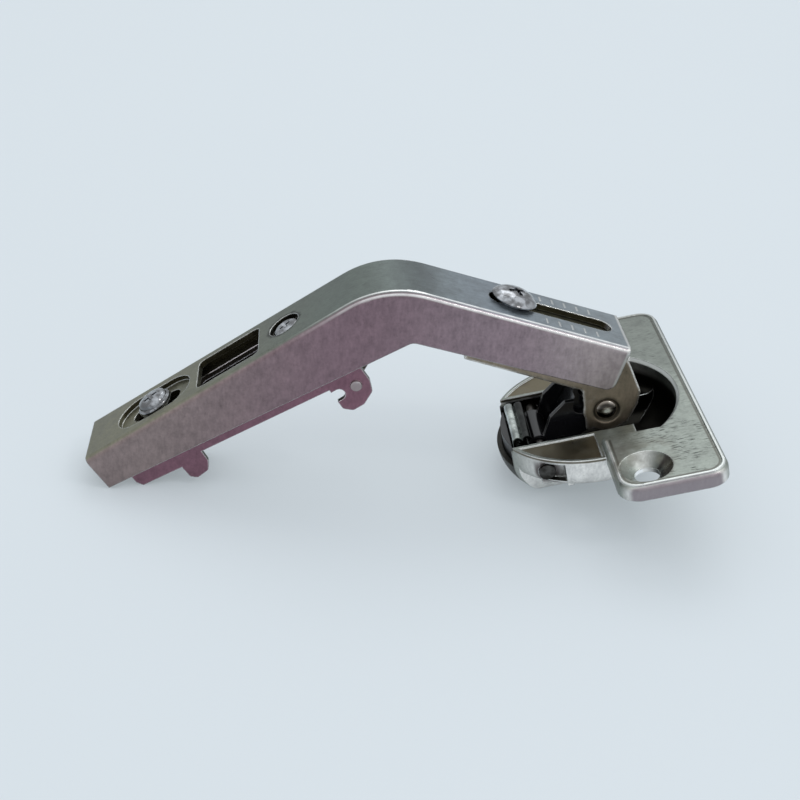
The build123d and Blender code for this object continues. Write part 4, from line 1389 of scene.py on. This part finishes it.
@dataclass
class ClipCarrier:
    """Channel inside the foot of the arm that clips onto a mounting plate, with its hook."""

    node: str = "clip_carrier"
    rivet: str = "hook_rivet"
    # Its top and side tones are lit and shaded copies with painted light, its inward tone is
    # painted shade and its pale corners are partly painted highlights.
    plating: PlatedSteel = PlatedSteel(
        "clip_nickel", ((0.055, 0.05, 0.035),), ((0.23, 0.12, 0.155),),
        worn=(0.78, 0.72, 0.74), inward_shade=(0.065, 0.055, 0.045), wear=1.5,
    )
    rivet_steel: BrightSteel = BrightSteel(
        "hook_rivet_bright", (0.74, 0.68, 0.68), (0.36, 0.30, 0.30), 0.24
    )

    def build(self) -> None:
        """Plate the carrier and brighten the rivet of its hook."""
        dress(self.node, self.plating.make())
        dress(self.rivet, self.rivet_steel.make())


@dataclass
class NoseSlide:
    """Slide inside the nose of the arm, with the domed rivet that the outer link turns on."""

    node: str = "inner_arm"
    rivet_node: str = "nose_rivet"
    body: Body = Body.NOSE_ARM
    shank: float = 1.25
    sharp: float = 32.0
    head: Profile = ((0.0, 6.28), (0.7, 6.26), (1.2, 6.14), (1.6, 5.94), (1.84, 5.76), (1.9, 5.6))
    # Its top and side tones are lit and shaded copies with painted light, and its pale corners are
    # partly painted highlights.
    plating: NosePlating = NosePlating(
        "nose_nickel", ((0.12, 0.115, 0.085),), ((0.265, 0.217, 0.162),),
        worn=(0.92, 0.90, 0.86), wear=2.0, edge=0.0009,
    )
    rivet_steel: RivetSteel = RivetSteel("rivet_steel", (0.62, 0.56, 0.50), (0.30, 0.26, 0.22), 0.2)

    def rivet(self) -> bpy.types.Object:
        """Turn the rivet on its side.

        Returns:
            The rivet.
        """
        floor = self.head[-1][1]
        half = (*self.head, (self.shank, floor))
        other = tuple((radius, -height) for radius, height in reversed(half))
        work = bmesh.new()
        turned(work, half + other)
        lay = Matrix.Rotation(math.radians(90.0), 4, "X")
        place = Matrix.Translation(Vector(RIVET_CENTRE)) @ lay
        bmesh.ops.transform(work, matrix=place, verts=work.verts)
        piece = as_object("nose_rivet_domed", work)
        smooth(piece, self.sharp)
        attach(piece, self.body.value)
        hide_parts(self.rivet_node)
        return piece

    def build(self) -> None:
        """Plate the slide and turn its rivet."""
        dress(self.node, self.plating.make())
        steel = self.rivet_steel.make()
        dress(self.rivet_node, steel)
        piece = self.rivet()
        piece.data.materials.append(steel)
        LOG.info("turned %s", piece.name)


@dataclass
class CupUnit:
    """Drawn cup with its flange, the pins that stand across it and its buffer."""

    node: str = "hinge_cup"
    pins: tuple[str, ...] = ("cup_pin", "link_pin")
    buffer: str = "cup_buffer"
    bead: FlangeBead = field(default_factory=FlangeBead)
    # Its top and side tones are lit and shaded copies with painted light, and its pale corners are
    # partly painted highlights.
    plating: CupSteel = CupSteel(
        "cup_nickel", ((0.285, 0.31, 0.28),), ((0.84, 0.82, 0.79),),
        worn=(0.80, 0.82, 0.80), wear=1.2, cloud=0.3,
    )
    # The pins' dark tone is painted shade inside the cup.
    pin_steel: BrightSteel = BrightSteel(
        "pin_steel_painted_shade", (0.10, 0.095, 0.09), (0.03, 0.028, 0.025), 0.22
    )
    nylon: BlackFinish = BlackFinish(
        "black_nylon", (0.007, 0.007, 0.008), (0.02, 0.02, 0.02), 0.0, 0.36
    )

    def build(self) -> None:
        """Plate the cup, give its pins a dark tone of painted shade, finish the buffer and press
        the flange's bead.
        """
        nickel = self.plating.make()
        dress(self.node, nickel)
        with_painted_light = self.pin_steel.make()
        for pin in self.pins:
            dress(pin, with_painted_light)
        dress(self.buffer, self.nylon.make())
        self.bead.build(nickel)


@dataclass
class LinkWork:
    """Crossed black links, the pin at their tail and the spring that closes the door."""

    links: tuple[str, ...] = ("outer_link", "inner_link")
    pin: str = "tail_pin"
    spring: str = "closing_spring"
    black: BlackFinish = BlackFinish(
        "black_link", (0.006, 0.006, 0.007), (0.16, 0.15, 0.14), 0.0, 0.16
    )
    pin_steel: BrightSteel = BrightSteel("pin_steel", (0.40, 0.37, 0.34), (0.16, 0.14, 0.12), 0.26)
    spring_steel: SpringSteel = SpringSteel(
        "spring_bright", (0.50, 0.54, 0.51), (0.24, 0.26, 0.25), 0.22
    )

    def build(self) -> None:
        """Blacken the links and brighten the pin and the spring."""
        black = self.black.make()
        for link in self.links:
            dress(link, black)
        dress(self.pin, self.pin_steel.make())
        dress(self.spring, self.spring_steel.make())


@dataclass
class ScrewSet:
    """The three adjusting screws, the nuts that two of them turn in and the third one's bush."""

    nuts: tuple[str, ...] = ("overlay_nut", "depth_nut", "screw_bush")
    nut_steel: BrightSteel = BrightSteel("nut_steel", (0.30, 0.29, 0.27), (0.16, 0.15, 0.14), 0.36)
    chrome: BrightSteel = BrightSteel(
        "screw_chrome", (0.40, 0.41, 0.43), (0.17, 0.17, 0.175), 0.16, 0.18, scale=750.0
    )
    overlay: TurnedScrew = TurnedScrew(
        "overlay_screw", Body.OVERLAY_SCREW, "overlay_screw_turn", -0.05,
        (
            (0.0, 2.3), (1.4, 2.22), (2.5, 1.98), (3.3, 1.6), (3.75, 1.15), (4.1, 0.95),
            (4.2, 0.78), (4.15, 0.6), (3.2, 0.55), (3.2, 0.0),
        ),
        2.0, 7.6, 2.3,
    )
    depth: TurnedScrew = TurnedScrew(
        "depth_screw", Body.DEPTH_SCREW, "depth_screw_turn", 0.95,
        (
            (0.0, 2.2), (1.9, 2.14), (2.6, 1.9), (2.85, 1.55), (2.9, 1.15), (3.3, 1.0),
            (3.4, 0.8), (3.4, 0.15), (3.25, 0.0),
        ),
        2.0, 6.8, 1.9,
    )
    small: TurnedScrew = TurnedScrew(
        "small_screw", Body.SMALL_SCREW, "small_screw_turn", 1.05,
        ((0.0, 0.9), (1.6, 0.87), (2.2, 0.7), (2.45, 0.45), (2.5, 0.1), (2.4, 0.0)),
        1.75, 8.5, 1.5, recess_depth=0.7, recess_width=0.8,
    )

    def build(self) -> None:
        """Finish the nuts and the bush, and turn the screws."""
        steel = self.nut_steel.make()
        for nut in self.nuts:
            dress(nut, steel)
        chrome = self.chrome.make()
        for screw in (self.overlay, self.depth, self.small):
            dress(screw.node, chrome)
            screw.build(chrome)


@dataclass(frozen=True)
class Lamp:
    """Soft square lamp that points at the hinge, in metres and watts."""

    name: str
    place: Place
    size: float
    power: float
    colour: Colour

    def hang(self) -> None:
        """Hang the lamp in the scene."""
        light = bpy.data.lights.new(self.name, "AREA")
        light.shape = "SQUARE"
        light.size = self.size
        light.energy = self.power
        light.color = self.colour
        lamp = bpy.data.objects.new(self.name, light)
        lamp.location = self.place
        lamp.rotation_euler = (-Vector(self.place)).to_track_quat("-Z", "Y").to_euler()
        bpy.context.scene.collection.objects.link(lamp)


@dataclass
class Studio:
    """Pale table, soft light and the camera of the photograph."""

    table_size: float = 3.0
    table_colour: Colour = (0.64, 0.68, 0.715)
    table_roughness: float = 0.6
    table_relief: float = 0.00001
    patch_scale: float = 6.0
    patch_dim: float = 0.03
    paper_colour: Colour = (0.665, 0.74, 0.785)
    lift_share: float = 0.38
    sky_colour: Colour = (0.93, 0.97, 1.0)
    dim_below: float = 0.0
    bright_above: float = 0.8
    horizon: float = 0.55
    zenith: float = 1.12
    lamps: tuple[Lamp, ...] = (
        Lamp("ceiling_lamp", (0.10, 0.50, 0.75), 0.5, 1.0, (0.97, 0.99, 1.0)),
        Lamp("front_strip", (0.42, -0.30, 0.61), 0.12, 0.5, (1.0, 0.99, 0.97)),
    )
    camera_place: Place = (-0.0186745, -0.215451, 0.1393723)
    camera_turn: Place = (60.0196, -2.7076, -3.7273)
    lens: float = 61.21
    sensor: float = 36.0
    clip: Span = (0.01, 20.0)

    def laminate(self) -> bpy.types.Material:
        """Finish of the table, with a share of its own light so that its shadows stay pale.

        Returns:
            The finished material.
        """
        sheet = NodeSheet(bpy.data.materials.new("table_laminate"))
        patch = sheet.noise(self.patch_scale)
        coats = Coats(sheet.plain(self.table_colour), self.table_roughness, patch)
        coats.shade(1 - self.patch_dim / 2 + patch * self.patch_dim)
        lit = sheet.surface(coats, 0.0, self.table_relief)
        glow = sheet.node(
            "ShaderNodeEmission", inputs={"Color": self.paper_colour, "Strength": 1.0}
        )
        seen = sheet.most(
            sheet.node("ShaderNodeLightPath", output="Is Camera Ray"),
            sheet.node("ShaderNodeLightPath", output="Is Glossy Ray"),
        )
        share = seen * self.lift_share
        return sheet.close(sheet.node("ShaderNodeMixShader", inputs={0: share, 1: lit, 2: glow}))

    def table(self) -> None:
        """Lay the table that the hinge lies on."""
        work = bmesh.new()
        grid = bmesh.ops.create_grid(work, x_segments=1, y_segments=1, size=self.table_size)
        bmesh.ops.translate(work, verts=grid["verts"], vec=(0, 0, CAD_BOX[0][2]))
        table = as_object("table", work)
        table.data.materials.append(self.laminate())

    def sky(self) -> None:
        """Light the scene from all around, more from above than from the horizon."""
        sheet = NodeSheet(bpy.data.worlds.new("sky"))
        direction = sheet.node("ShaderNodeTexCoord", output="Generated")
        climb = sheet.node("ShaderNodeSeparateXYZ", inputs={0: direction}, output="Z")
        strength = sheet.node(
            "ShaderNodeMapRange",
            {"interpolation_type": "SMOOTHSTEP"},
            {
                "Value": climb, "From Min": self.dim_below, "From Max": self.bright_above,
                "To Min": self.horizon, "To Max": self.zenith,
            },
        )
        light = {"Color": self.sky_colour, "Strength": strength}
        bpy.context.scene.world = sheet.close(sheet.node("ShaderNodeBackground", inputs=light))

    def camera(self) -> None:
        """Stand the camera where the photograph was taken from."""
        lens = bpy.data.cameras.new("photo_camera")
        lens.lens = self.lens
        lens.sensor_width = self.sensor
        lens.clip_start, lens.clip_end = self.clip
        camera = bpy.data.objects.new("photo_camera", lens)
        camera.location = self.camera_place
        camera.rotation_euler = Euler([math.radians(a) for a in self.camera_turn])
        bpy.context.scene.collection.objects.link(camera)
        bpy.context.scene.camera = camera

    def build(self) -> None:
        """Set up the whole studio."""
        self.table()
        self.sky()
        for lamp in self.lamps:
            lamp.hang()
        self.camera()
        bpy.context.scene.view_settings.view_transform = "Standard"


def main() -> None:
    """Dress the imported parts, add the small pieces and set the studio."""
    logging.basicConfig(level=logging.INFO, format="%(message)s")
    Studio().build()
    for part in (BentArm(), ClipCarrier(), NoseSlide(), CupUnit(), LinkWork(), ScrewSet()):
        part.build()
        LOG.info("built %s", type(part).__name__)


if __name__ == "__main__":
    main()
